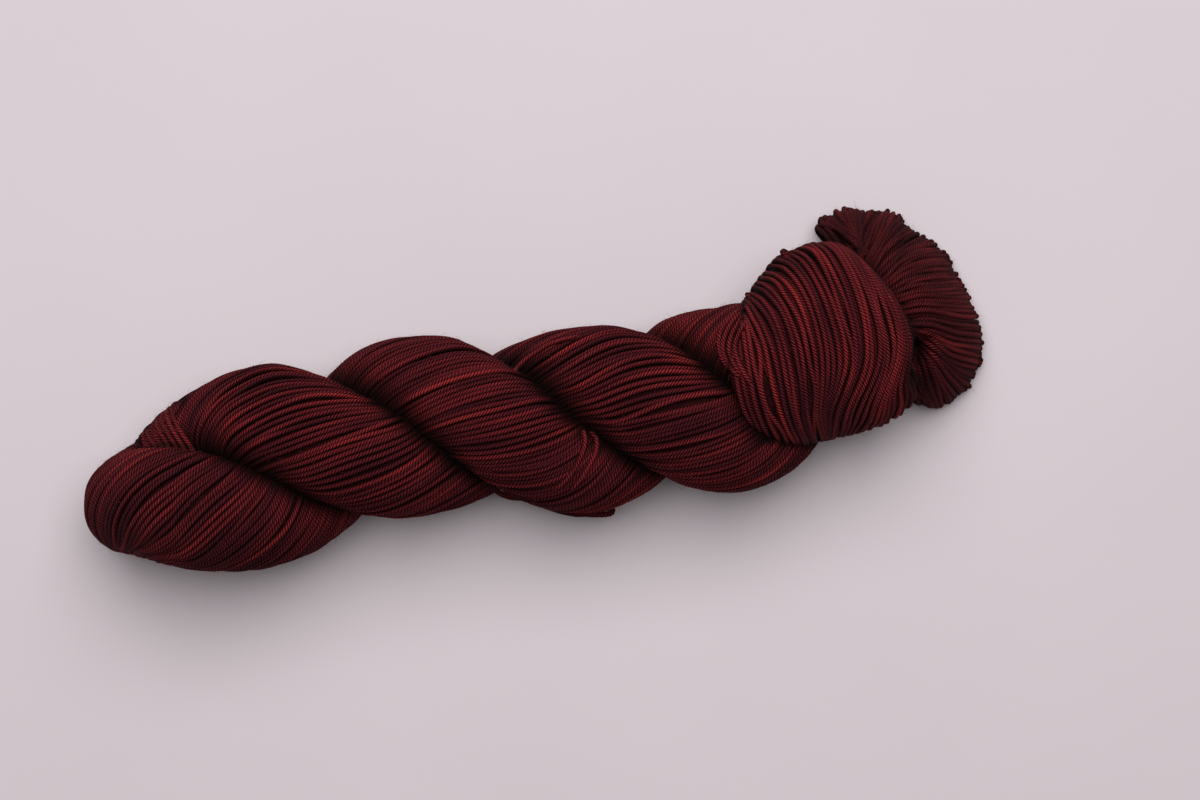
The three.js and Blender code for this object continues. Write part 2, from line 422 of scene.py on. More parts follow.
# %% The shape of the fan
FAN_RIM_WAY = [-180, -110, -80, -68, -51, -34, -13, 0, 15, 29, 50, 62, 68, 86, 97, 109, 115, 130, 180]
FAN_RIM = [20, 20, 28, 32.2, 34.2, 33.5, 31.2, 29.3, 28.2, 29.3, 30.4, 31.8, 34.4, 35.5, 38.2, 37,
           25, 20, 20]
NECK = (112, 2.1, 23)
FAN_DROOP = 19.5  # mm the rim hangs lower than the neck
NECK_HALF = 17  # mm, half the thickness at the neck
RIM_HALF = 10  # and near the rim
LENS_POWER = 3
PIT_PLACE = (120.2, -8.4)  # by the sleeve's edge the fan has a deep dark pit
PIT_HALF = (3.0, 4.5)
PIT_DEPTH = 10.0


def pit(x, y):
    """How much of the pit a place has, from 0 to 1."""
    return np.exp(-((x - PIT_PLACE[0]) / PIT_HALF[0]) ** 2 - ((y - PIT_PLACE[1]) / PIT_HALF[1]) ** 2)


def fan_height(x, y, side, inset):
    """Height of the fan's top (side 1) or underside (side -1) at a place seen from above."""
    way = np.degrees(np.arctan2(y - NECK[1], x - NECK[0]))
    rim = smooth(FAN_RIM_WAY, FAN_RIM, way)
    out = np.minimum(np.hypot(x - NECK[0], y - NECK[1]) / rim, 1)
    lens = (1 - out ** LENS_POWER) ** (1 / LENS_POWER)
    half = NECK_HALF + (RIM_HALF - NECK_HALF) * out - inset
    top = (1 + side) / 2
    return NECK[2] - FAN_DROOP * out * out + side * half * lens - top * PIT_DEPTH * pit(x, y)


print("fan's top at its neck:", float(fan_height(*NECK[:2], 1, 0.0).round(1)), "mm")

# %% [markdown]
# ## Closed bodies
# The strands and the sleeve are tubes, so each starts as a flat grid that is wrapped round and
# closed at its ends. The fan starts as a ball, whose points are moved. The table presses both
# flat underneath.

# %% Closed bodies
THIN_END = 109  # degrees: the fan's thin end, where its dark inside draws back further
THIN_END_HALF = 7
TABLE_GAP = 0.1  # mm over the table, room for the humps of the plies
FAN_GRID = (96, 36)  # steps round it and from pole to pole


def on_table(points, radius):
    """The table presses flat what would reach below it. The radius is the thread's."""
    points[..., 2] = np.maximum(points[..., 2], radius + TABLE_GAP)
    return points


def wrapped(place, around, steps):
    """A closed body: a grid whose sheet is wrapped into a tube by place(share, angle)."""
    bm = bmesh.new()
    bmesh.ops.create_grid(bm, x_segments=around, y_segments=steps, size=0.5)
    share = np.array([v.co.y + 0.5 for v in bm.verts])
    angle = np.array([(v.co.x + 0.5) * 2 * math.pi for v in bm.verts])
    for v, p in zip(bm.verts, on_table(place(share, angle), 0.0)):
        v.co = p * MM
    bmesh.ops.remove_doubles(bm, verts=bm.verts, dist=1e-5)
    bmesh.ops.holes_fill(bm, edges=[e for e in bm.edges if e.is_boundary])
    bmesh.ops.triangulate(bm, faces=bm.faces)
    bmesh.ops.recalc_face_normals(bm, faces=bm.faces)
    return bm


def fan_body(inset):
    """A closed body: a ball whose points are moved to the fan's rim, top and underside."""
    bm = bmesh.new()
    bmesh.ops.create_uvsphere(bm, u_segments=FAN_GRID[0], v_segments=FAN_GRID[1], radius=1)
    for v in bm.verts:
        x, y, height = v.co
        way = math.degrees(math.atan2(y, x))
        out = max(0, 1 - abs(height) ** LENS_POWER) ** (1 / LENS_POWER)
        thin_end = 1 + 2 * math.exp(-((way - THIN_END) / THIN_END_HALF) ** 2)
        reach = out * (float(smooth(FAN_RIM_WAY, FAN_RIM, way)) - inset * thin_end)
        half = NECK_HALF + (RIM_HALF - NECK_HALF) * out - inset
        level = math.hypot(x, y) or 1
        x = NECK[0] + reach * x / level
        y = NECK[1] + reach * y / level
        z = NECK[2] - FAN_DROOP * out * out + half * height
        if height > 0:
            z -= PIT_DEPTH * pit(x, y)
        v.co = Vector((x, y, max(z, 0))) * MM
    bmesh.ops.recalc_face_normals(bm, faces=bm.faces)
    return bm


print("points of the fan's ball:", FAN_GRID[0] * (FAN_GRID[1] - 1) + 2)

# %% [markdown]
# ## The four bodies of yarn
# The hank has four bodies: the two strands of the rope, the sleeve and the fan. They aren't
# shown. They tell where one body covers another, and joined and shrunk they make the dark
# inside later. A search tree of each finds the nearest place on it quickly.

# %% The four bodies of yarn
STRANDS_PART = -1.6  # the place on the path where the first strand is cut from the second
STRAND_GRID = (40, 90)  # steps round a strand and along it
SLEEVE_GRID = (64, 24)


def bodies(inset, overlap=0.0):
    """The four closed bodies as bmeshes, inset mm below the yarn's skin."""
    def strand(start, end):
        return wrapped(
            lambda share, angle: strand_skin(start + (end - start) * share, angle, inset),
            *STRAND_GRID,
        )

    return {
        "first": strand(STRANDS_PART - overlap, ROPE_END),
        "second": strand(STRANDS_PART + overlap, -ROPE_END),
        "sleeve": wrapped(lambda share, angle: sleeve_skin(share, angle, inset), *SLEEVE_GRID),
        "fan": fan_body(inset),
    }


skins = {name: BVHTree.FromBMesh(bm) for name, bm in bodies(0.0).items()}
print("bodies:", list(skins))

# %% [markdown]
# ## Keeping what shows
# A thread runs out of sight inside the hank for half of its length. Those stretches would only
# make the model heavy. For each point of a thread the search trees tell how deep it lies in
# the other bodies. Only the stretches outside them are kept, with a little more so that their
# ends are buried. Where a thread comes close to another body it also gets a painted shade, as
# little light gets down into the grooves between the bodies.

# %% Keeping what shows
COVER = 1.9  # mm deep in another body a thread is out of sight
GROOVE = 9.0  # mm from another body the shade starts
GROOVE_SKEW = 3.0  # mm it starts further off on the side away from the light
GROOVE_SHADE = 0.97  # the shade right beside another body
LIGHT_WAY = Vector((0.35, 0.94, 0))  # the way to the light, seen from above
LOOK_OUT = Vector((0.12, 0.23, 0.966))  # any slanting way will do
NUDGE = 1e-5  # m past a crossing, where the next look starts
FAR = 1e3  # mm, further than any other body
BESIDE = -0.3  # a cosine: a body that lies further below a thread than this doesn't shade it
SHORTEST = 3  # a stretch has more points than this


def is_inside(tree, here):
    """Whether a straight way out crosses the closed body's skin an odd number of times."""
    crossings = 0
    spot = tree.ray_cast(here, LOOK_OUT)[0]
    while spot is not None:
        crossings += 1
        spot = tree.ray_cast(spot + LOOK_OUT * NUDGE, LOOK_OUT)[0]
    return crossings % 2 == 1


def depth_in_others(points, facing, own):
    """How deep each point (mm) lies in another body, and how near one is that shades it."""
    depth = np.full(len(points), -FAR)
    near = np.zeros(len(points))
    for name, tree in skins.items():
        if name == own:
            continue
        for k, p in enumerate(points):
            here = Vector(p * MM)
            spot, _, _, away = tree.find_nearest(here, max(-depth[k], GROOVE + GROOVE_SKEW) * MM)
            if spot is None:
                continue
            inside = is_inside(tree, here)
            depth[k] = max(depth[k], (away if inside else -away) / MM)
            above = (spot - here).dot(Vector(facing[k])) > BESIDE * away
            reach = GROOVE - GROOVE_SKEW * (spot - here).dot(LIGHT_WAY) / max(away, 1e-6)
            if inside or above:
                near[k] = max(near[k], 1 if inside else 1 - away / MM / reach)
    return depth, near


def visible_runs(thread, own):
    """The stretches (first, last, shade) of a thread that other bodies don't cover."""
    depth, near = depth_in_others(thread["points"], thread["facing"], own)
    near = np.clip(near, 0, 1)
    near[1:-1] = (near[:-2] + near[1:-1] + near[2:]) / 3
    shade = GROOVE_SHADE * near * near * (3 - 2 * near)
    edges = np.flatnonzero(np.diff(np.concatenate([[0], depth < COVER, [0]])))
    runs = []
    for first, last in zip(edges[::2], edges[1::2]):
        first = max(0, first - 1)
        last = min(len(depth), last + 1)
        if runs and first <= runs[-1][1]:
            runs[-1][1] = last
        elif last - first > SHORTEST:
            runs.append([first, last])
    return [(first, last, shade[first:last]) for first, last in runs]


print("a thread is out of sight", COVER, "mm deep in another body")

# %% [markdown]
# ## Nodes that spin
# Every thread is a line of points first. A Geometry Nodes tree sweeps a small circle along the
# lines, which is the quickest way to make thousands of round threads at once. Numbers stored
# on the points ride along: the thread's tone, its way along the yarn and its place on the
# circle.

# %% Nodes that spin
SIDES = 8
FIBRE_SIDES = 3  # enough for something as thin as a single fibre


def spinning_nodes(sides):
    """A node tree that sweeps a circle along the lines of a mesh."""
    tree = bpy.data.node_groups.new(f"spin {sides}", "GeometryNodeTree")
    for way in ("INPUT", "OUTPUT"):
        tree.interface.new_socket("Geometry", in_out=way, socket_type="NodeSocketGeometry")
    lines = add_node(tree, "NodeGroupInput")
    threads = add_node(tree, "NodeGroupOutput")
    curve = add_node(tree, "GeometryNodeMeshToCurve")
    sweep = add_node(tree, "GeometryNodeCurveToMesh", {"Fill Caps": True})
    circle = add_node(tree, "GeometryNodeCurvePrimitiveCircle", {"Resolution": sides, "Radius": 1.0})
    mark = add_node(tree, "GeometryNodeStoreNamedAttribute", {"Name": "around"},
                    data_type="FLOAT", domain="POINT")
    corner = add_node(tree, "GeometryNodeInputIndex")
    thickness = add_node(tree, "GeometryNodeInputNamedAttribute", {"Name": "thickness"},
                         data_type="FLOAT")
    for source, target, socket in (
        (lines, curve, "Mesh"), (curve, sweep, "Curve"), (circle, mark, "Geometry"),
        (corner, mark, "Value"), (mark, sweep, "Profile Curve"), (thickness, sweep, "Scale"),
        (sweep, threads, 0),
    ):
        tree.links.new(source.outputs[0], target.inputs[socket])
    return tree


spinners = {sides: spinning_nodes(sides) for sides in (SIDES, FIBRE_SIDES)}
print("sides of the circles:", list(spinners))

# %% [markdown]
# ## The yarn's own map
# From the numbers on the points the yarn's own map is made: across is once round the thread, up
# is metres along it, so that the plies can be drawn winding round it. A second map is for
# baking, and lays all threads side by side in rows, with no two of them on one spot.

# %% The yarn's own map
BAKE_ROW = 5.6 * MM  # room for the once-round of a thread in the baking map
BAKE_GAP = 3.0 * MM
BAKE_MARGIN = 0.04  # of a row, above and below the thread
BAKE_SPARE = 1.03  # the square is a little larger than the rows would need
CAP_CORNERS = 4  # a face with more corners closes the end of a thread
CAP_HALF = 0.5 * MM  # such a face gets a small disc beyond the thread's end


def point_values(mesh, name):
    """The numbers of that name that the mesh's points carry."""
    values = np.empty(len(mesh.vertices), np.float32)
    mesh.attributes[name].data.foreach_get("value", values)
    return values


def laid_in_rows(lengths):
    """Each thread's row and start when they are laid in rows, and the side of the square that
    holds them all."""
    side = math.sqrt((sum(lengths) + BAKE_GAP * len(lengths)) * BAKE_ROW) * BAKE_SPARE
    rows = []
    starts = []
    row = 0
    reach = BAKE_GAP
    for length in lengths:
        if reach + length + BAKE_GAP > side and reach > BAKE_GAP:
            row += 1
            reach = BAKE_GAP
        rows.append(row)
        starts.append(reach)
        reach += length + BAKE_GAP
    return np.array(rows), np.array(starts), max(side, (row + 1) * BAKE_ROW)


def map_yarn(mesh, sides, lengths):
    """The yarn's own map and the baking map of a mesh of threads."""
    vertex = np.empty(len(mesh.loops), np.int32)
    mesh.loops.foreach_get("vertex_index", vertex)
    starts = np.empty(len(mesh.polygons), np.int32)
    mesh.polygons.foreach_get("loop_start", starts)
    corners = np.diff(np.append(starts, len(vertex)))
    face = np.repeat(np.arange(len(starts)), corners)
    around, along, at, run = (point_values(mesh, n)[vertex] for n in ("around", "along", "at", "run"))
    run = np.round(run).astype(int)
    cap = (corners > CAP_CORNERS)[face]
    # the face between the last corner of the circle and the first ends at 1, not at 0
    closing = np.ones(len(starts), bool)
    for corner in (0, sides - 1):
        touched = np.zeros(len(starts), bool)
        np.logical_or.at(touched, face, around == corner)
        closing &= touched
    around = np.where(closing[face] & ~cap & (around == 0), sides, around) / sides
    row, start, side = laid_in_rows(lengths)
    x = start[run] + at
    y = row[run] * BAKE_ROW + (BAKE_MARGIN + (1 - 2 * BAKE_MARGIN) * around) * BAKE_ROW
    end = np.where(at > 0.5 * np.array(lengths)[run], 1, -1)
    ring = 2 * math.pi * around
    x = np.where(cap, x + end * MM + CAP_HALF * np.cos(ring), x)
    y = np.where(cap, (row[run] + 0.5) * BAKE_ROW + CAP_HALF * np.sin(ring), y)
    for name, across, up in (("Yarn", around, along), ("OFBake", x / side, y / side)):
        layer = mesh.uv_layers.new(name=name)
        layer.uv.foreach_set("vector", np.stack([across, up], -1).astype(np.float32).ravel())


print("rows of the baking map:", round(BAKE_ROW / MM, 1), "mm")

# %% [markdown]
# ## Brighter and darker patches
# Hand-dyed yarn is dipped or painted as a whole hank. Soft round patches make the yarn brighter
# or darker in places. Deep hollows, and a flank that faces away from the light, get painted
# shade, nearly black, as no light gets there. Both are soft patches, listed with their places.
# What they add is stored on the threads' points with the rest.

# %% Brighter and darker patches
TONE_PATCHES = [  # place, size in mm, and how much brighter the yarn is there
    (-132, -5, 11, -0.32), (-117, -8, 8, 0.11), (-98, -22, 12, -0.26), (-90, 18, 9, 0.18),
    (-76, 5, 9, -0.1), (-60, -18, 9, 0.1), (-39, 21, 11, 0.14), (-26, 1, 12, 0.05),
    (-3, -25, 12, -0.12), (9, 12, 11, 0.09), (27, -7, 11, -0.03), (46, -29, 11, 0.07),
    (51, 8, 9, 0.4), (74, 0, 10, 0.05), (90, 0, 9, 0.09), (107, 0, 7, -0.05),
    (92, 18, 8, 0.14), (87, -20, 10, -0.17), (130, 8, 12, 0.04), (128, -16, 10, 0.06)]
# painted shade: the fan's pit and the arc beside it, the sleeve's flank that faces away from the light,
# and the gap by the fold
DARK_PLACES = [  # hollows seen from above: place, half sizes in mm, and how dark
    (119.9, -8.6, 1.9, 4.0, 0.97),
    (124.0, -5.6, 3.0, 1.5, 0.85),
    (114.8, -17.0, 2.2, 8.0, 0.75),
    (-104.6, 26.8, 1.6, 2.6, 0.9)]


def patches_at(points, patches):
    """The sum at these points of soft round patches, each with x, y, size and amount."""
    return sum(
        amount * np.exp(-((points[:, 0] - x) ** 2 + (points[:, 1] - y) ** 2) / size ** 2)
        for x, y, size, amount in patches
    )


def in_hollows(points, shade):
    """The shade of the threads with the dark hollows."""
    for x, y, half_x, half_y, dark in DARK_PLACES:
        near = ((points[:, 0] - x) / half_x) ** 2 + ((points[:, 1] - y) / half_y) ** 2
        shade = 1 - (1 - shade) * (1 - dark * np.exp(-near))
    return shade


print(len(TONE_PATCHES), "patches and", len(DARK_PLACES), "hollows")

# %% [markdown]
# ## What a piece is given
# Light reaches the crest of a thread and not its flanks, so each point is told how far it faces
# out of the hank. A finished piece rides on the part's only body and takes the place of the
# CAD model's plain hank.

# %% What a piece is given
def mark_crests(mesh):
    """Stores how much each point of a thread faces out of the hank: 1 on its crest."""
    facing = np.empty(3 * len(mesh.vertices), np.float32)
    mesh.attributes["facing"].data.foreach_get("vector", facing)
    normal = np.empty(3 * len(mesh.vertices), np.float32)
    mesh.vertex_normals.foreach_get("vector", normal)
    crest = (facing.reshape(-1, 3) * normal.reshape(-1, 3)).sum(1)
    mesh.attributes.new("crest", "FLOAT", "POINT").data.foreach_set("value", crest)
    mesh.attributes.remove(mesh.attributes["facing"])


def add_piece(name, mesh, material):
    """A finished piece of the hank with this mesh and material."""
    mesh.shade_smooth()
    mesh.materials.clear()
    mesh.materials.append(material)
    piece = add_object(name, mesh)
    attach(piece, "root")
    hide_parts("hank")
    print(name, "has", sum(len(p.vertices) - 2 for p in mesh.polygons), "triangles")


print("every piece of yarn rides on root, in place of the plain hank")

# %% [markdown]
# ## Spinning threads
# Now the lines can be spun: they get their numbers, the nodes sweep the circle along them, the
# maps are laid, and what the finish doesn't need is taken off again.

# %% Spinning threads
def spin(name, runs, material, sides=SIDES):
    """One piece of all the threads. A run is a dict of arrays in mm for one thread: points,
    facing (the way out of the hank), thickness (its radius), tone and shade, and along, the
    yarn's length at its start."""
    def all_of(key):
        return np.concatenate([r[key] for r in runs])

    mesh = bpy.data.meshes.new(name + "_lines")
    points = all_of("points")
    at = [way_along(r["points"]) * MM for r in runs]
    run = np.repeat(range(len(runs)), [len(a) for a in at])
    first = np.flatnonzero(run[1:] == run[:-1])  # each point but the last of its run
    mesh.from_pydata((points * MM).tolist(), np.stack([first, first + 1], -1).tolist(), [])
    columns = {
        "thickness": all_of("thickness") * MM,
        "tone": all_of("tone") + patches_at(points, TONE_PATCHES),
        "shade": in_hollows(points, all_of("shade")),
        "along": np.concatenate([a + r["along"] * MM for a, r in zip(at, runs)]),
        "at": np.concatenate(at),
        "run": run,
    }
    for key, values in columns.items():
        attribute = mesh.attributes.new(key, "FLOAT", "POINT")
        attribute.data.foreach_set("value", values.astype(np.float32))
    facing = all_of("facing").astype(np.float32)
    mesh.attributes.new("facing", "FLOAT_VECTOR", "POINT").data.foreach_set("vector", facing.ravel())
    lines = add_object(name + "_lines", mesh)
    sweep = lines.modifiers.new("sweep", "NODES")
    sweep.node_group = spinners[sides]
    graph = bpy.context.evaluated_depsgraph_get()
    spun = bpy.data.meshes.new_from_object(lines.evaluated_get(graph))
    spun.name = name
    bpy.data.objects.remove(lines)
    map_yarn(spun, sides, [a[-1] for a in at])
    mark_crests(spun)
    for key in ("around", "at", "run", "thickness", "along"):
        spun.attributes.remove(spun.attributes[key])
    if "sharp_edge" in spun.attributes:
        spun.attributes.remove(spun.attributes["sharp_edge"])
    add_piece(name, spun, material)
    print(f"{name}: {len(runs)} runs, {sum(a[-1] for a in at):.1f} m")


print("what a run holds: points, facing, thickness, tone, shade, along")

# %% [markdown]
# ## Sums with nodes
# A pattern can be worked out like a sum: Math nodes add, multiply and take a sine of what
# flows through them. Relief is a height that a Bump node hands to the shader.

# %% Sums with nodes
def math_node(tree, operation, a, b=None, clamp=False):
    """A Math node with numbers or sockets for its inputs. Gives its output."""
    node = add_node(tree, "ShaderNodeMath", operation=operation, use_clamp=clamp)
    for k, value in enumerate((a, b)):
        if isinstance(value, (int, float)):
            node.inputs[k].default_value = value
        elif value is not None:
            tree.links.new(value, node.inputs[k])
    return node.outputs[0]


def add_relief(tree, shader, height, strength, distance):
    """A Bump node that lets the shader see this relief."""
    bump = add_node(tree, "ShaderNodeBump", {"Strength": strength, "Distance": distance})
    tree.links.new(height, bump.inputs["Height"])
    tree.links.new(bump.outputs[0], shader.inputs["Normal"])


print("a sum of two values takes one node")

# %% [markdown]
# ## Hand-dyed wool
# The yarn was dyed by hand in one dark red, so its threads differ a little: some nearly brick,
# some nearly maroon. Each is four plies twisted together, which show as slanting ribs. The
# grooves between the plies, the flanks of each thread and the places near other bodies get
# painted shade. Wool is matt, with a soft sheen from the fibres that stand off it. The ribs come
# from a wave on the yarn's own map and the tones from the numbers that the threads carry.
# Patches about as wide as a thumb come from noise on the object's coordinates.

# %% Hand-dyed wool
PLIES = 4
PLY_TURN = 4.2 * MM  # the plies go once round in this much yarn


def dyed_wool():
    """The yarn: four plies with its dye, and painted shade in every groove and down each flank."""
    material, tree, shader, where = new_material("dyed wool", {
        "Roughness": 0.85,
        "Specular IOR Level": 0.06,
        "Sheen Weight": 0.02,
        "Sheen Roughness": 0.5,
        "Sheen Tint": (0.9, 0.18, 0.16, 1),
    })
    link = tree.links.new
    plus = partial(math_node, tree, "ADD")
    minus = partial(math_node, tree, "SUBTRACT")
    times = partial(math_node, tree, "MULTIPLY")
    own_map = add_node(tree, "ShaderNodeUVMap", uv_map="Yarn")
    split = tree.nodes.new("ShaderNodeSeparateXYZ")
    link(own_map.outputs["UV"], split.inputs[0])
    around = split.outputs["X"]
    along = split.outputs["Y"]
    tone, groove_shade, crest = (
        add_node(tree, "ShaderNodeAttribute", attribute_name=name).outputs["Fac"]
        for name in ("tone", "shade", "crest")
    )
    # the plies, as humps with narrow grooves between them
    turns = plus(around, math_node(tree, "DIVIDE", along, PLY_TURN))
    phase = plus(times(turns, float(PLIES)), times(noise_node(tree, where, 420.0, 1.0), 0.9))
    swing = math_node(tree, "SINE", times(phase, math.pi))
    hump = math_node(tree, "POWER", math_node(tree, "ABSOLUTE", swing), 1.6)
    # fine fibres that lie along the plies
    lay = tree.nodes.new("ShaderNodeCombineXYZ")
    link(times(turns, 26.0), lay.inputs["X"])
    link(times(along, 900.0), lay.inputs["Y"])
    fibres = noise_node(tree, lay.outputs[0], 1.0, 3.0, 0.6)
    # the colour: tone of the thread, patches and fibres
    shade = plus(tone, times(noise_node(tree, where, 45.0), 0.4))
    shade = minus(plus(shade, times(fibres, 0.35)), 0.375, clamp=True)
    dye = ramp_node(tree, shade, [
        (0.0, (0.053, 0.0073, 0.0128)),
        (0.35, (0.112, 0.0125, 0.0180)),
        (0.65, (0.195, 0.0183, 0.0235)),
        (1.0, (0.385, 0.0315, 0.0325)),
    ])
    # painted shade: darker between the plies, down the flanks of the thread and near other bodies
    flank_shade = ramp_node(tree, crest, [
        (at, (light,) * 3) for at, light in ((0.20, 0.14), (0.55, 0.40), (0.80, 0.78), (0.97, 1.0))])
    painted_shade = times(times(plus(times(hump, 1.25), 0.05), flank_shade), minus(1.0, groove_shade))
    darken = add_node(tree, "ShaderNodeVectorMath", operation="SCALE")
    link(dye, darken.inputs[0])
    link(painted_shade, darken.inputs["Scale"])
    link(darken.outputs[0], shader.inputs["Base Color"])
    add_relief(tree, shader, plus(hump, times(fibres, 0.45)), 0.9, 0.45 * MM)
    return material


wool = dyed_wool()
print("wool:", len(wool.node_tree.nodes), "nodes")

# %% [markdown]
# ## How threads stray
# Real threads wander: neighbours drift together, single ones cross a neighbour, and some sink
# while others stand proud. Smooth noise gives each thread its own drift and depth. In a few
# listed places they are drawn together.

# %% How threads stray
THREADS = 46  # side by side round the loop
THREAD_APART = 7.3  # in the noise, so that each thread has its own
SEED_APART = 3.1
GATHERS = [  # where threads draw together: way along the loop, place round it, pull
    (150.6, 0.22, 0.3),
    (-188, 0.30, 0.25),
    (15.4, 0.63, 0.7),
    (-95.3, 0.25, 0.6),
]
GATHER_LENGTH = 18.0  # mm
GATHER_WIDTH = 0.14  # of the way round


def drift(way, thread, size, seed):
    """Smooth noise from -1 to 1 along the way, with humps about size mm long, its own for
    each thread."""
    x = thread * THREAD_APART + seed
    y = seed * SEED_APART
    return np.array([noise.noise(Vector((s / size, x, y))) for s in way])


def shared_drift(way, thread, size, group, seed):
    """Smooth noise that about so many (group) threads side by side share."""
    turn = 2 * math.pi * thread / THREADS
    radius = THREADS / (2 * math.pi) / group
    x = radius * math.cos(turn) + seed
    y = radius * math.sin(turn) - seed
    return np.array([noise.noise(Vector((s / size, x, y))) for s in way])


def gathered(place, way):
    """The place round the strand after the threads are drawn together at the gathers."""
    moved = place.copy()
    for at, middle, pull in GATHERS:
        off = np.mod(place - middle + 0.5, 1.0) - 0.5
        strength = np.exp(-((way - at) / GATHER_LENGTH) ** 2 - (off / GATHER_WIDTH) ** 2)
        moved -= pull * off * strength
    return moved


print("places where threads draw together:", len(GATHERS))

# %% [markdown]
# ## One thread of the rope
# A thread follows the twist of the loop from station to station, and strays a little sideways
# and in depth. One in eight stands proud and crosses its neighbours. Where the yarn bulges it
# is lifted a little.

# %% One thread of the rope
THREAD_RADIUS = 0.87  # mm
CROWD = 0.12  # the threads stand a little wider on the outside than inside
SLANT = 0.6  # turns a shift across the threads into one round the strand
PROUD_FIRST = 3
PROUD_EVERY = 8  # from there on, one thread in so many stands proud
SWELLS = [  # where the yarn bulges a little more or less: place, size and amount in mm
    (-115, 24, 8, 1.2), (-75, 30, 8, 1.0), (-17, 26, 8, 0.8), (30, 20, 8, 0.9), (48, 19, 9, 1.5),
    (-130, -16, 7, -1.1), (-122, 20, 6, 0.7), (97, 28, 8, 1.4)]
rng = random.Random(11)


def rope_thread(k):
    """Thread number k, whole, with arrays for all stations."""
    own = partial(drift, station_way, k)
    shared = partial(shared_drift, station_way, k)
    own_tone = rng.random()
    proud = k % PROUD_EVERY == PROUD_FIRST
    fraction = k / THREADS - station_phase / (2 * math.pi)
    shift = (2.4 if proud else 0.6) * own(18.0, 1.0)
    shift += shared(34.0, 9.0, 5.0) + 0.6 * shared(26.0, 3.2, 9.0)
    fraction = fraction + shift / (RING_LENGTH * SLANT)
    place = fraction + CROWD * np.sin(4 * math.pi * (fraction - 0.5)) / (4 * math.pi)
    angle = angle_round(gathered(place, station_way))
    radius = THREAD_RADIUS * rng.uniform(0.93, 1.06) * (1 + 0.12 * own(5.0, 11.0))
    sink = 0.3 * (1 + own(9.0, 20.0))
    sink += 1.3 * np.clip(own(14.0, 40.0) - 0.15, 0, 1)
    sink += 0.5 * np.clip(shared(18.0, 3.0, 31.0) - 0.1, 0, 1)
    if proud:
        sink *= 0.15
    skin = strand_skin(station_path, angle, 0)
    points = strand_skin(station_path, angle, radius + sink - patches_at(skin, SWELLS))
    # a deeper sunk thread gets a darker tone and a proud one a lighter tone: painted shade and light
    tone = 0.5 + 0.3 * (own_tone - 0.5) + 0.42 * own(12.0, 60.0) - 0.2 * sink
    tone += 0.12 * shared(20.0, 4.0, 77.0) + (0.08 if proud else 0)
    return {
        "points": on_table(points, radius),
        "facing": unit(skin - strand_skin(station_path, angle, 2)),
        "thickness": radius,
        "tone": tone,
    }


print("threads:", THREADS, "proud:", len(range(PROUD_FIRST, THREADS, PROUD_EVERY)))

# %% [markdown]
# ## The threads of the rope
# Forty-six threads lie side by side round the loop. Each is cut where one strand ends and the
# other starts, and keeps the stretches that other bodies don't cover. The threads of a strand
# make two pieces, left and right, so that neither is too heavy.

# %% The threads of the rope
RUN_APART = 37.0  # mm of yarn between the starts of two threads, so that their plies differ
FIRST_SPLIT = -40  # mm, x where each strand's threads are split into two pieces
SECOND_SPLIT = -10


def stretch(thread, first, last, shade, along):
    """The part of a thread from first to last, ready to spin."""
    part = {key: values[first:last] for key, values in thread.items()}
    part["shade"] = shade
    part["along"] = along
    return part


def rope_threads():
    """The visible runs of all threads, by strand."""
    runs = {"first": [], "second": []}
    in_first = station_path > STRANDS_PART
    for k in range(THREADS):
        thread = rope_thread(k)
        for strand, picked in (("first", in_first), ("second", ~in_first)):
            part = {key: values[picked] for key, values in thread.items()}
            for first, last, shade in visible_runs(part, strand):
                along = station_thread[picked][first] + RUN_APART * k
                runs[strand].append(stretch(part, first, last, shade, along))
    return runs


def halves(name, runs, x):
    """Two pieces, with the runs left and right of x."""
    for side, right in (("left", False), ("right", True)):
        part = [r for r in runs if (r["points"][len(r["points"]) // 2][0] >= x) == right]
        spin(f"{name}_{side}", part, wool)


rope_runs = rope_threads()
halves("first_strand", rope_runs["first"], FIRST_SPLIT)
halves("second_strand", rope_runs["second"], SECOND_SPLIT)

# %% [markdown]
# ## Where the sleeve's threads lie
# The end of the loop is opened over the rope like a cuff. Its threads lie side by side across
# the rope. They lie evenly over the crown, but at the back many gather at both edges, and at the
# front in the middle. A table gives where each of them lies at each angle round the sleeve.

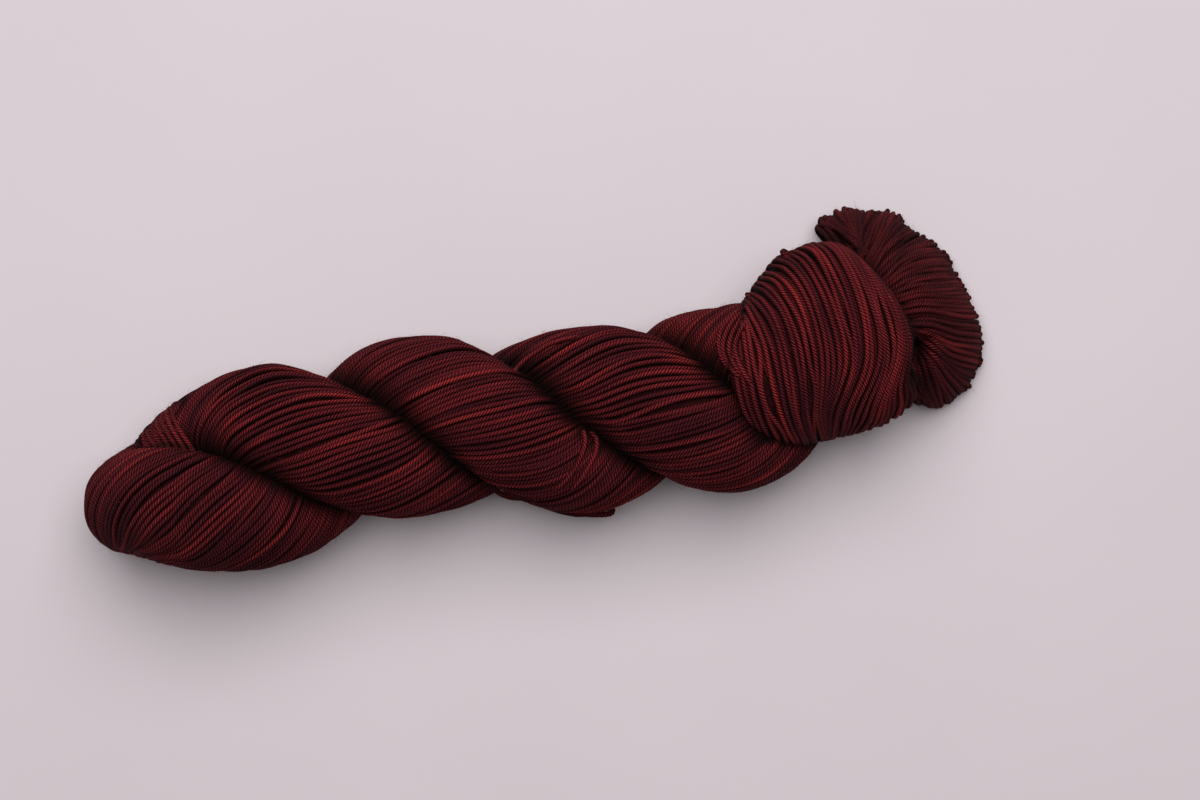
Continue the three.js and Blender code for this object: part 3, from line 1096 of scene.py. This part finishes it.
# %% Where the sleeve's threads lie
# the table's columns are threads of the sleeve, counted from its left edge
FLOW_NUMBER = [0, 1.4, 3.1, 5.3, 8.2, 10.7, 13.3, 16.5, 19.2, 22, 24.5, 27.2, 29.8, 33.1, 37]
FLOW = {  # where the thread of that number lies at each angle, as a share of the sleeve's length
    0: [0, .004, .020, .050, .093, .203, .315, .472, .630, .784, .902, .926, .941, .952, 1],
    15: [0, .006, .030, .055, .109, .213, .327, .488, .634, .788, .907, .950, .956, .965, 1],
    30: [0, .016, .051, .084, .154, .259, .379, .538, .660, .799, .894, .960, .970, .978, 1],
    45: [0, .032, .076, .122, .212, .314, .433, .566, .674, .794, .876, .944, .978, .986, 1],
    60: [0, .047, .097, .159, .260, .360, .467, .579, .680, .781, .860, .926, .968, .985, 1],
    75: [0, .054, .105, .180, .283, .379, .479, .578, .674, .762, .840, .908, .959, .978, 1],
    90: [0, .050, .103, .181, .285, .378, .471, .568, .663, .737, .815, .889, .948, .970, 1],
    105: [0, .038, .092, .173, .274, .361, .447, .539, .633, .700, .781, .861, .926, .955, 1],
    120: [0, .022, .081, .162, .258, .336, .415, .493, .564, .636, .727, .819, .882, .931, 1],
    135: [0, .010, .069, .151, .242, .311, .380, .440, .483, .551, .648, .754, .812, .905, 1],
    150: [0, .006, .061, .141, .225, .287, .351, .397, .424, .476, .561, .666, .737, .865, 1],
    165: [0, .006, .066, .137, .216, .276, .338, .375, .397, .436, .503, .594, .691, .804, 1],
    180: [0, .008, .078, .142, .220, .282, .342, .378, .398, .431, .501, .575, .687, .830, 1],
}
print("angles with a row:", list(FLOW))

# %% [markdown]
# ## Even steps
# The points of a line are spaced evenly before it is spun, as the bends need steps of about one
# length. After that the line is cut into the stretches that show, as the rope's threads were.

# %% Even steps
FEWEST = 6  # points of a line


def even_steps(line, facing, step):
    """The line with points every step mm, the way it faces there, and the way along it."""
    way = way_along(line)
    at = np.linspace(0, way[-1], max(FEWEST, int(way[-1] / step) + 1))
    points, faces = (
        np.stack([np.interp(at, way, values[:, k]) for k in range(3)], -1)
        for values in (line, facing)
    )
    return points, unit(faces), at


def shown_parts(line, facing, radius, tone_of, own, start, dim=0.0):
    """Spaces a line's points evenly and gives its stretches that other bodies don't cover.
    A thread that lies lower gets some shade (dim) all along."""
    points, facing, at = even_steps(line, facing, THREAD_STEP)
    thread = {
        "points": points,
        "facing": facing,
        "thickness": radius * (1 + 0.12 * drift(at, start, 5.0, 11.0)),
        "tone": tone_of(at),
    }
    return [
        stretch(thread, first, last, 1 - (1 - shade) * (1 - dim), start + at[first])
        for first, last, shade in visible_runs(thread, own)
    ]


print("steps of", THREAD_STEP, "mm")

# %% [markdown]
# ## The sleeve
# Each thread of the sleeve goes once round it. A second layer fills the gaps from below, and a
# few more threads close the ring-shaped ends.

# %% The sleeve
SLEEVE_TURNS = 35
SLEEVE_RADIUS = 0.84
SLEEVE_LAYERS = ((0.0, 0.0), (0.5, 1.2))  # shift in threads, and mm below the sleeve's skin
SLEEVE_LAST = 0.997  # of the way through the table, where the last thread stops
SLEEVE_LENGTH = 50  # mm, about
SLEEVE_REACH = 27  # mm, about how far the threads are from its middle
SLEEVE_DEGREES = np.arange(-90, 271, 2.0)
LIPS = ((0, -1), (1, 1))  # the sleeve's ends as a share of its length, and the way each faces
LIP_THREADS = 3
LIP_STEP = 1.7  # mm between them
sleeve_angle = np.radians(SLEEVE_DEGREES)
sleeve_way = sleeve_angle * SLEEVE_REACH


def sleeve_thread(k, shift, below):
    """The visible runs of one thread that goes once round the sleeve."""
    radius = SLEEVE_RADIUS * rng.uniform(0.94, 1.05)
    own_tone = rng.random()
    share = min((k + 0.5 + shift + rng.uniform(-0.2, 0.2)) / SLEEVE_TURNS, SLEEVE_LAST)
    row = [float(smooth(FLOW_NUMBER, places, share * FLOW_NUMBER[-1])) for places in FLOW.values()]
    along = smooth([-90, *FLOW, 270], [share, *row, share], SLEEVE_DEGREES)
    astray = 2.0 if k % 7 == 4 else 0.5  # mm
    along = along + astray * drift(sleeve_way, k, 16.0, 3.0 + shift) / SLEEVE_LENGTH
    along = np.clip(along, 0, 1)
    sink = below + 0.15 + 0.8 * np.clip(drift(sleeve_way, k, 12.0, 22.0), 0, 1)
    skin = sleeve_skin(along, sleeve_angle, 0)
    points = sleeve_skin(along, sleeve_angle, radius + sink - patches_at(skin, SWELLS))
    return shown_parts(
        on_table(points, radius), skin - sleeve_skin(along, sleeve_angle, 2), radius,
        lambda at: 0.5 + 0.4 * (own_tone - 0.5) + 0.4 * drift(at, k, 18.0, 71.0)
        + 0.2 * drift(at, k * 0.035, 30.0, 85.0),
        "sleeve", 170.0 * k, 0.5 if below else 0.0,
    )


def lip_thread(k, end, way_out):
    """The visible runs of one thread on the sleeve's end face."""
    inset = SLEEVE_RADIUS + LIP_STEP * (k + 1) + 0.3 * drift(sleeve_way, k, 14.0, 25.0 + end)
    points = sleeve_skin(end, sleeve_angle, inset)
    points[:, 0] -= way_out * 0.4 * SLEEVE_RADIUS
    facing = unit(sleeve_skin(end, sleeve_angle, 0) - points) + np.array([1.5 * way_out, 0, 0])
    return shown_parts(
        on_table(points, SLEEVE_RADIUS), facing, SLEEVE_RADIUS,
        lambda at: 0.45 + 0.3 * drift(at, k, 22.0, 75.0 + end), "sleeve", 210.0 * k,
    )


sleeve_runs = []
for shift, below in SLEEVE_LAYERS:
    for k in range(SLEEVE_TURNS):
        sleeve_runs += sleeve_thread(k, shift, below)
for end, way_out in LIPS:
    for k in range(LIP_THREADS):
        sleeve_runs += lip_thread(k, end, way_out)
spin("sleeve_yarn", sleeve_runs, wool)

# %% [markdown]
# ## Where the fan's loops run
# The last loops of the rope are pulled through the sleeve. Each comes out under the sleeve's
# edge, runs out over the fan, turns round its rim and goes back underneath. Four lists give
# where the loops come out, two places on their way and where they turn, seen from above.

# %% Where the fan's loops run
FAN_STARTS = [
    (109.2, 27.3), (109.9, 28.1), (110.1, 28.3), (110.3, 28), (110.4, 27.6), (110.4, 26.8),
    (110.2, 25.7), (110.4, 24.5), (110.9, 23.6), (112.1, 23.1), (112.4, 21.8), (112.9, 20.8),
    (113.4, 19.9), (113, 18.1), (114.6, 18.2), (114.9, 17.2), (115, 15.9), (115.1, 15),
    (115.2, 13.9), (115.2, 13), (115.6, 12.3), (116.3, 11.5), (116.7, 10.8), (116.6, 9.7),
    (116.8, 8.8), (117.4, 7.9), (117.5, 7.2), (117.7, 5.4), (118, 3.9), (118.2, 2.8),
    (118.6, 0.7), (119.1, -1.2), (119.5, -2.4), (120, -3.5), (120.8, -4.3), (122.2, -5.7),
    (121.8, -6.3), (121.4, -6.4), (121.2, -6.6), (120.9, -6.8), (120.2, -9.5), (118.7, -12.5),
    (117.5, -13.8)]
FAN_INNER = [
    (107.7, 30.1), (108.2, 31.8), (109.1, 31.4), (109.9, 31.7), (110.8, 31.3), (111.7, 30.5),
    (112, 30.4), (113.5, 29.1), (114.8, 27.8), (116.1, 27.1), (117.1, 26.5), (117.5, 25.6),
    (118.5, 25), (116.5, 22.1), (119, 21.1), (119.6, 20.1), (119.9, 19), (120.5, 18),
    (120.8, 16.8), (120.9, 15.7), (121.5, 14.6), (121.9, 13.2), (122.6, 12.3), (123, 10.6),
    (123, 9.1), (123.5, 7.9), (124.2, 7.2), (123.7, 5.3), (124.4, 3.5), (125.3, 2),
    (125.3, -0.8), (125.2, -3), (124.3, -4.8), (124.6, -5.8), (124.8, -7.4), (125.4, -9.3),
    (125, -11.2), (123.8, -11), (122.8, -11.6), (122.1, -11.5), (120.5, -13.8), (118.7, -15.9),
    (117.4, -17.1)]
FAN_OUTER = [
    (104.9, 33.9), (105.5, 34.8), (108, 35.6), (109.5, 35.5), (111, 35), (112.7, 34.4),
    (114.2, 33.5), (116.5, 32.5), (117.3, 31.1), (119.6, 31.4), (120.7, 30.5), (122.3, 30.4),
    (123.2, 28), (122.2, 25.6), (125.5, 23.4), (126.2, 22.2), (127, 20.9), (128, 19.8),
    (128.4, 18.3), (129.3, 16.8), (129.2, 15.3), (129.8, 13.3), (129.8, 12), (130.9, 9.9),
    (131.2, 8.4), (131.8, 6.6), (134, 4.8), (133.4, 2.9), (133.6, 1), (134.7, -1.5),
    (133.8, -4.8), (133.2, -7.3), (131.4, -9.7), (130.5, -11.3), (130.2, -13.5), (130.3, -16),
    (130, -18.2), (127.8, -19.3), (125.8, -20), (124, -18.7), (121.4, -21.5), (119.5, -21),
    (118.2, -21.4)]
FAN_TURNS = [
    (101.6, 35.8), (103.2, 38.1), (107, 39.1), (110.1, 39.4), (111.8, 38.5), (113.7, 38),
    (117.2, 36.1), (119.9, 35.4), (121.1, 34.7), (123.2, 35.7), (124.9, 34.3), (126.9, 32.9),
    (128, 29.8), (129.1, 27.4), (132.5, 25.1), (134.9, 22.2), (135.4, 21.1), (137.4, 18.7),
    (138.3, 17.2), (138.6, 15.7), (138.5, 14.3), (139, 12.4), (139.8, 10.6), (140.5, 8.6),
    (140.9, 7), (141.4, 5), (141.6, 3.2), (142.1, 0.8), (142.4, -0.9), (143, -3.4),
    (143.2, -7.1), (142.8, -10.2), (141.5, -13.1), (141.2, -16.2), (140, -18.2), (137.8, -20.6),
    (135.4, -23.6), (132.6, -25.3), (129, -26.3), (126, -27.2), (123.8, -27.2), (121.9, -26.3),
    (120.5, -24.8)]
print("places in each list:", len(FAN_STARTS))

# %% [markdown]
# ## One loop of the fan
# A loop starts hidden under the sleeve. Seen from above it follows a smooth curve through its
# four corners. On the way out it lies on the fan's top and on the way back on its underside,
# and the lens shape brings both together at the rim, where it turns.

# %% One loop of the fan
LOOP_STEPS = 56  # points from the sleeve's edge to the rim
HIDDEN = 5  # mm it starts under the sleeve
HIDDEN_STEPS = 5
TURN_POWER = 8  # near the rim the way it faces swings out quickly


def fan_loop(corners, inset, rim_inset, dip, thin):
    """A loop out over the fan, round its rim and back underneath, and its way out.
    The way back lies no more than thin (mm) below the way out."""
    start, inner = corners[:2]
    hidden = start + unit(start - inner) * HIDDEN
    run = 3 * np.sin(np.linspace(0, math.pi / 2, LOOP_STEPS))
    plan = smooth_places(corners, run)
    plan = np.concatenate([np.linspace(hidden, start, HIDDEN_STEPS + 1)[:-1], plan])
    out = np.minimum(1, np.concatenate([np.zeros(HIDDEN_STEPS), run / 3]))
    sunk = rim_inset + (inset - rim_inset) * (1 - out) + dip * (1 - out) ** 2
    line = []
    facing = []
    for side, order in ((1, slice(None)), (-1, slice(-2, None, -1))):
        height = fan_height(plan[:, 0], plan[:, 1], side, sunk)
        if side < 0:
            height = np.maximum(height, top - thin * (1 - out ** TURN_POWER))
        top = height
        line.append(np.concatenate([plan, height[:, None]], axis=1)[order])
        outward = unit(plan - np.array(NECK[:2])) * (out ** 4)[:, None]
        upward = side * np.sqrt(1 - out ** TURN_POWER)
        facing.append(np.concatenate([outward, upward[:, None]], axis=1)[order])
    return np.concatenate(line), np.concatenate(facing)


def rounded(points, times):
    """The line with its corners taken off, that many times. Its ends are kept."""
    for _ in range(times):
        points[1:-1] = 0.5 * points[1:-1] + 0.25 * (points[:-2] + points[2:])
    return points


print("points of a loop:", 2 * (LOOP_STEPS + HIDDEN_STEPS) - 1)

# %% [markdown]
# ## From corners to a thread
# Most loops have their corners from the lists, read on a smooth curve between two places. The
# loops at the sides have theirs on a straight way out from the neck. Then the line is rounded
# and strays a little, like every thread.

# %% From corners to a thread
SIDE_CORNERS = (0.3, 0.5, 0.75, 0.97)  # of the way from the neck to the rim


def listed_corners(where):
    """The corners of the loop at a place (where) in the fan's lists."""
    return [smooth_places(rows, where) for rows in (FAN_STARTS, FAN_INNER, FAN_OUTER, FAN_TURNS)]


def side_corners(way):
    """The corners of a loop that runs straight out from the neck, way in degrees."""
    rim = float(smooth(FAN_RIM_WAY, FAN_RIM, way))
    out = np.array([math.cos(math.radians(way)), math.sin(math.radians(way))])
    return [np.array(NECK[:2]) + out * rim * share for share in SIDE_CORNERS]


def fan_thread(k, corners, radius, near_inset, rim_inset, back, dip, dim, thin):
    """The visible runs of loop k with these corners. Insets are in mm below the skin, near the
    sleeve and at the rim. The tip stands back, the middle dips, and dim adds shade."""
    own_tone = rng.random()
    corners[3] = corners[3] + unit(corners[2] - corners[3]) * back
    line, facing = fan_loop(corners, radius + near_inset, radius + rim_inset, dip, thin)
    line = rounded(line, 2)
    way = np.arange(len(line)) * 0.6
    line[:, 0] += 0.5 * drift(way, k, 11.0, 33.0)
    line[:, 1] += 0.5 * drift(way, k, 11.0, 36.0)
    return shown_parts(
        on_table(line, radius), facing, radius,
        lambda at: 0.48 + 0.28 * (own_tone - 0.5) + 0.35 * drift(at, k, 18.0, 71.0),
        "fan", 90.0 * k, dim,
    )


print("corners of the middle loop:", [c.round(1).tolist() for c in listed_corners(len(FAN_STARTS) // 2)])

# %% [markdown]
# ## The loops of the fan
# Two layers of loops follow the lists. At the fan's thin upper end single loops stand out like
# fingers, and the tips between them stand back. The lists end beside the neck, so a few loops
# run straight out there and close the sides.

# %% The loops of the fan
FAN_RADIUS = 0.92
FAN_LAYERS = ((56, 0.0, 0.1), (55, 1.8, 0.9))  # loops, mm below the skin by the sleeve, and at the rim
FINGERS = (0, 1, 2, 3, 4, 5, 9, 10, 11)  # places in the lists where single loops stand out
BETWEEN_FINGERS = ((-1, 3.6), (8.4, 10.6))
FINGER_BACK = 1.4  # mm the tips between them stand back
THIN_PLACES = 5  # the fan's thin end has the first places of the lists
THIN = 4  # mm from a loop's way out to its way back there
THICK = 50  # elsewhere, more than the fan has: the way back follows its underside
SIDE_WAYS = (106, 109, 112, 115, 118, 121, -72, -76, -80, -84, -88, -92, -97, -103)  # degrees


def layer_loop(k, layer):
    """The visible runs of loop k in a layer of the fan."""
    near_inset, rim_inset = FAN_LAYERS[layer][1:]
    radius = FAN_RADIUS * rng.uniform(0.94, 1.05)
    where = (k + 0.5 * layer + rng.uniform(-0.2, 0.2)) / (FAN_LAYERS[0][0] - 1) * (len(FAN_STARTS) - 1)
    back = 0.4 * rim_inset - 0.6 + rng.uniform(-0.15, 0.15)
    if any(low < where < high for low, high in BETWEEN_FINGERS):
        back += FINGER_BACK
    dip = rng.uniform(0, 1) + (2.5 if k % 2 else 0)
    near_inset += rng.uniform(0, 0.5)
    thin = THIN if where < THIN_PLACES and layer == 0 else THICK
    return fan_thread(60 * layer + k, listed_corners(where), radius, near_inset, rim_inset, back,
                      dip, 0.6 * layer, thin)


fan_runs = []
for layer, (count, _, _) in enumerate(FAN_LAYERS):
    for k in range(count):
        fan_runs += layer_loop(k, layer)
for k, where in enumerate(FINGERS):
    fan_runs += fan_thread(200 + k, listed_corners(where), FAN_RADIUS * 1.08, -0.4, -0.2, -0.4,
                           1.5, 0.0, THIN + 1)
for k, way in enumerate(SIDE_WAYS):
    fan_runs += fan_thread(300 + k, side_corners(way), FAN_RADIUS, 0.6, 0.6, 0.3, 0.0, 0.3, THICK)
spin("fan_yarn", fan_runs, wool)

# %% [markdown]
# ## Where slack threads lie
# No hank is wound quite evenly. A few threads have slipped out of line: small loops round the
# sleeve's end, two that stand proud by a groove, a slack one that hangs out at the front. Each
# is a line seen from above, laid on whatever body is highest there, or hung at a height.

# %% Where slack threads lie
SLACK = [  # height over what it lies on in mm, and places seen from above
    (0.2, [(69.2, 15.5), (66.7, 14.0), (62.5, 10.9), (60.3, 6.7), (60.4, 1.7), (62.3, -2.1), (65, -6)]),
    (0.5, [(69.6, 14.5), (66.3, 12.5), (63.1, 9.2), (61.2, 5.3), (61.4, 0.9), (64.1, -4.5)]),
    (0.5, [(70.0, 13.4), (66.9, 10.9), (64.2, 7.6), (62.9, 4.2), (63.2, -0.4), (65.4, -6.4)]),
    (0.4, [(70.4, 11.2), (67.3, 8.6), (65.2, 5.4), (64.5, 1.8), (65.2, -3.2), (67.6, -9.5)]),
    (0.2, [(13.6, -8.6), (13.9, -12.4), (12.4, -15.9), (8.7, -20.6), (4.2, -24.0), (0.3, -25.4)]),
    (0.2, [(15.8, -9.6), (17.2, -12.6), (16.2, -16.9), (13.1, -20.7), (9.4, -24.4), (4.9, -27.1)]),
    (0.3, [(-3.7, 11.6), (1.3, 15.0), (6.8, 17.1), (10.1, 18.1), (14.6, 18.4), (20.1, 18.2)]),
]
HANGING = [  # loops that stand out of the outline, with their height at both ends
    (16.0, 16.0, [(1.7, -30.0), (7.4, -33.3), (12.8, -35.2), (16.3, -35.5), (17.3, -36.5),
                  (15.8, -37.3), (9.9, -36.1), (4.0, -33.8), (-0.5, -31.2)]),
    (16.0, 16.0, [(-18.5, -19.6), (-16.1, -23.2), (-12.5, -25.5), (-8.8, -26.6), (-4.1, -29.7),
                  (1.0, -32.9), (6.3, -35.2), (11.9, -36.0)]),
    (35.5, 30.5, [(91.2, 23.4), (88.9, 25.9), (87.0, 28.0), (86.1, 29.3), (86.1, 30.1),
                  (87.0, 29.6), (88.8, 27.4), (91.0, 24.6)]),
    (34.0, 31.0, [(76.6, 16.2), (74.2, 17.9), (72.8, 18.8), (72.5, 19.4), (73.3, 19.2), (76.4, 17.2)]),
    (5.0, 9.0, [(106.8, 26.6), (104.8, 29.6), (103.2, 31.9), (101.5, 34.2), (102.0, 34.8),
                (103.8, 33.2), (106.8, 29.6)]),
]
print("slack:", len(SLACK), "hanging:", len(HANGING))

# %% [markdown]
# ## Slack threads
# The line of a slack thread is rounded and spaced evenly. Both its ends are sunk into the yarn,
# as a thread never ends on the outside of a hank.

# %% Slack threads
FLANK = 20.0  # mm over the table, how far down a body's flank a slack thread may lie
SLACK_STEP = 0.8  # mm between their points, as they bend more than the others
SETTLE = 0.5  # mm a thread sinks into what it lies on
END_DEPTH = 3.5  # mm its ends are sunk


def top_of_bodies(x, y):
    """Height in mm of the highest body under a place, and the way its surface faces."""
    down = Vector((0, 0, -1))
    high = Vector((x * MM, y * MM, 0.1))
    height = FLANK
    facing = Vector((0, 0, 1))
    for tree in skins.values():
        spot, normal, _, _ = tree.ray_cast(high, down)
        if spot is not None and spot.z / MM > height:
            height = spot.z / MM
            facing = normal
    return height, facing


def slack_run(line, facing, radius, number, tone):
    """What spin needs to know of a thread along the line."""
    line = rounded(line, 6)
    facing = rounded(facing, 6)
    points, facing, at = even_steps(on_table(line, radius), facing, SLACK_STEP)
    return {
        "points": points,
        "facing": facing,
        "thickness": np.full(len(points), radius),
        "tone": tone + 0.3 * drift(at, number, 12.0, 91.0),
        "shade": np.zeros(len(points)),
        "along": 55.0 * number,
    }


def slack_thread(places, lies_at, radius, number, tone):
    """A slack thread. The function lies_at gives height and facing for share, x and y."""
    fine = np.linspace(0, len(places) - 1, 12 * len(places))
    plan = smooth_places(places, fine)
    lies = [lies_at(share, x, y) for share, (x, y) in zip(fine / fine[-1], plan)]
    height = np.array([h for h, _ in lies])
    ends = np.minimum(fine, fine[-1] - fine)
    height -= END_DEPTH * np.clip(1 - 2 * ends, 0, 1)
    line = np.concatenate([plan, height[:, None]], axis=1)
    return slack_run(line, np.array([f for _, f in lies]), radius, number, tone)


def lying(lift):
    """For a thread that lies on the bodies, lifted by lift mm."""
    def lies_at(share, x, y):
        height, facing = top_of_bodies(x, y)
        return height + lift - SETTLE, facing
    return lies_at


def hanging(first, last):
    """For a thread in the air, from the height first to the height last."""
    return lambda share, x, y: (first + (last - first) * share, Vector((0, 0, 1)))


slack_runs = []
for number, (lift, places) in enumerate(SLACK):
    slack_runs.append(slack_thread(places, lying(lift), THREAD_RADIUS, number, 0.65))
for number, (first, last, places) in enumerate(HANGING):
    slack_runs.append(slack_thread(places, hanging(first, last), THREAD_RADIUS, 20 + number, 0.4))
print("slack threads:", len(slack_runs))

# %% [markdown]
# ## Strands by the fold
# At the back of the fold the rope gapes a little. A few strands come out of that gap side by
# side and go down the flank. Each is found by looking in from outside, at one angle after the
# other, and laid on what is met first.

# %% Strands by the fold
BY_FOLD = 7  # strands, with places for the first and the last: where they start, and cross the edge
BY_FOLD_STARTS = ((-117.4, 13.6, 0.0), (-104.4, 12.4, 0.0))
BY_FOLD_EDGES = ((-119.4, 18.4, 0.0), (-107.2, 26.3, 0.0))
BY_FOLD_OUT = np.array([-0.546, 0.838, 0.0])  # the way across that edge
BY_FOLD_MIDDLE = np.array([0, 0, 17.0])  # the strands wrap round a line at this height
BY_FOLD_SPREAD = 1.57  # radians round that line in which they spread by their whole way aside
BY_FOLD_ANGLES = np.radians(np.linspace(95, -45, 60))  # from the top down the flank
ENDS_DOWN = (3.5, 2.5, 1.2, 0.4)  # mm the points at both ends are sunk, from the end inward
OUTSIDE = 60  # mm from their line, where the look inward starts


def strand_by_fold(share, lift, number):
    """A strand that comes out of the gap by the fold and goes down the flank."""
    start, edge = (
        np.array(first) + (np.array(last) - np.array(first)) * share
        for first, last in (BY_FOLD_STARTS, BY_FOLD_EDGES)
    )
    inward = (start - edge) @ BY_FOLD_OUT
    aside = start - edge - inward * BY_FOLD_OUT
    line = []
    facing = []
    for angle in BY_FOLD_ANGLES:
        out = math.cos(angle) * BY_FOLD_OUT + np.array([0, 0, math.sin(angle)])
        middle = edge + inward * BY_FOLD_OUT + aside * angle / BY_FOLD_SPREAD + BY_FOLD_MIDDLE
        outside = Vector((middle + OUTSIDE * out) * MM)
        hits = [tree.ray_cast(outside, Vector(-out))[0] for tree in skins.values()]
        reach = max((np.array(hit) / MM - middle) @ out for hit in hits if hit is not None)
        line.append(middle + (reach + lift) * out)
        facing.append(out)
    for k, deep in enumerate(ENDS_DOWN):
        line[k] -= deep * facing[k]
        line[-1 - k] -= deep * facing[-1 - k]
    return slack_run(np.array(line), np.array(facing), THREAD_RADIUS, number, 0.6)


for k in range(BY_FOLD):
    slack_runs.append(strand_by_fold(k / (BY_FOLD - 1), 0.4 * rng.random() - 0.2, 40 + k))
spin("slack_yarn", slack_runs, wool)

# %% [markdown]
# ## Stray fibres
# Wool is never smooth: short fibres stand off every thread. Some thousands of fine bent hairs
# start on random threads and lean outward. Three sides are enough for something so thin.

# %% Stray fibres
HAIRS = 6000
HAIR_RADIUS = 0.033  # mm
HAIR_TAPER = np.array([1.0, 1.0, 0.9, 0.8, 0.6, 0.3])  # its thickness at each of its points
HAIR_LIE = 0.1  # mm, the least height over the table
GROOVE_START = 0.5  # no hair starts where the shade is deeper


def fibre_finish():
    """Single fibres: the dye of the wool, lighter because light passes through them."""
    return mottled(
        "stray fibre",
        {"Roughness": 0.9, "Specular IOR Level": 0.05},
        [(0.3, (0.10, 0.011, 0.014)), (0.7, (0.26, 0.035, 0.036))],
        300.0,
    )[0]


def stray_fibres(runs):
    """Bent hairs that start on the threads and lean away from the hank."""
    weights = [len(r["points"]) for r in runs]
    hairs = []
    for k, run in enumerate(rng.choices(runs, weights, k=HAIRS)):
        j = rng.randrange(1, len(run["points"]) - 1)
        if run["shade"][j] > GROOVE_START:
            continue
        ahead = unit(run["points"][j + 1] - run["points"][j])
        out = run["facing"][j]
        aside = np.cross(ahead, out)
        lean = rng.uniform(-1.1, 1.1)
        way = unit(out * math.cos(lean) + aside * math.sin(lean))
        start = run["points"][j] + way * run["thickness"][j] * 0.8
        length = rng.uniform(0.8, 3.4)
        sweep = ahead * rng.choice((-1, 1)) * rng.uniform(0.5, 1.6) + aside * rng.uniform(-0.7, 0.7)
        t = np.linspace(0, 1, len(HAIR_TAPER))[:, None]
        line = start + length * (way * (0.8 * t - 0.35 * t * t) + sweep * (0.6 * t * t))
        hairs.append({
            "points": on_table(line, HAIR_LIE),
            "facing": np.tile(out, (len(t), 1)),
            "thickness": HAIR_RADIUS * HAIR_TAPER,
            "tone": np.full(len(t), 0.5),
            "shade": np.zeros(len(t)),
            "along": 5.0 * k,
        })
    return hairs


all_runs = rope_runs["first"] + rope_runs["second"] + sleeve_runs + fan_runs
spin("stray_fibres", stray_fibres(all_runs), fibre_finish(), FIBRE_SIDES)

# %% [markdown]
# ## What lies inside
# Between the threads one sees more yarn, darker and out of the light. The four bodies, shrunk
# by a little more than a thread and remeshed into one skin, stand for it.

# %% What lies inside
INSIDE = 2.3  # mm below the yarn's skin
STRANDS_OVERLAP = 0.6  # on the path, so that no gap is left where the strands part
VOXEL = 2.0 * MM  # how fine the one skin is
joined = bmesh.new()
for part in bodies(INSIDE, STRANDS_OVERLAP).values():
    scrap = bpy.data.meshes.new("scrap")
    part.to_mesh(scrap)
    part.free()
    joined.from_mesh(scrap)
    bpy.data.meshes.remove(scrap)
joined_mesh = bpy.data.meshes.new("joined")
joined.to_mesh(joined_mesh)
joined.free()
joined_piece = add_object("joined", joined_mesh)
remesh = joined_piece.modifiers.new("one skin", "REMESH")
remesh.mode = "VOXEL"
remesh.voxel_size = VOXEL
graph = bpy.context.evaluated_depsgraph_get()
inner_mesh = bpy.data.meshes.new_from_object(joined_piece.evaluated_get(graph))
inner_mesh.name = "inner_yarn"
bpy.data.objects.remove(joined_piece)


def shaded_wool():
    """The wool seen deep between the threads: nearly black, with threads hinted at."""
    material, tree, shader, lumps = mottled(
        "shaded wool",
        {"Roughness": 0.95, "Specular IOR Level": 0.1},
        [(0.3, (0.010, 0.0012, 0.0018)), (0.7, (0.034, 0.0034, 0.0048))],
        700.0, 3.0, 0.6,
    )
    add_relief(tree, shader, lumps, 1.0, 0.6 * MM)
    return material


add_piece("inner_yarn", inner_mesh, shaded_wool())
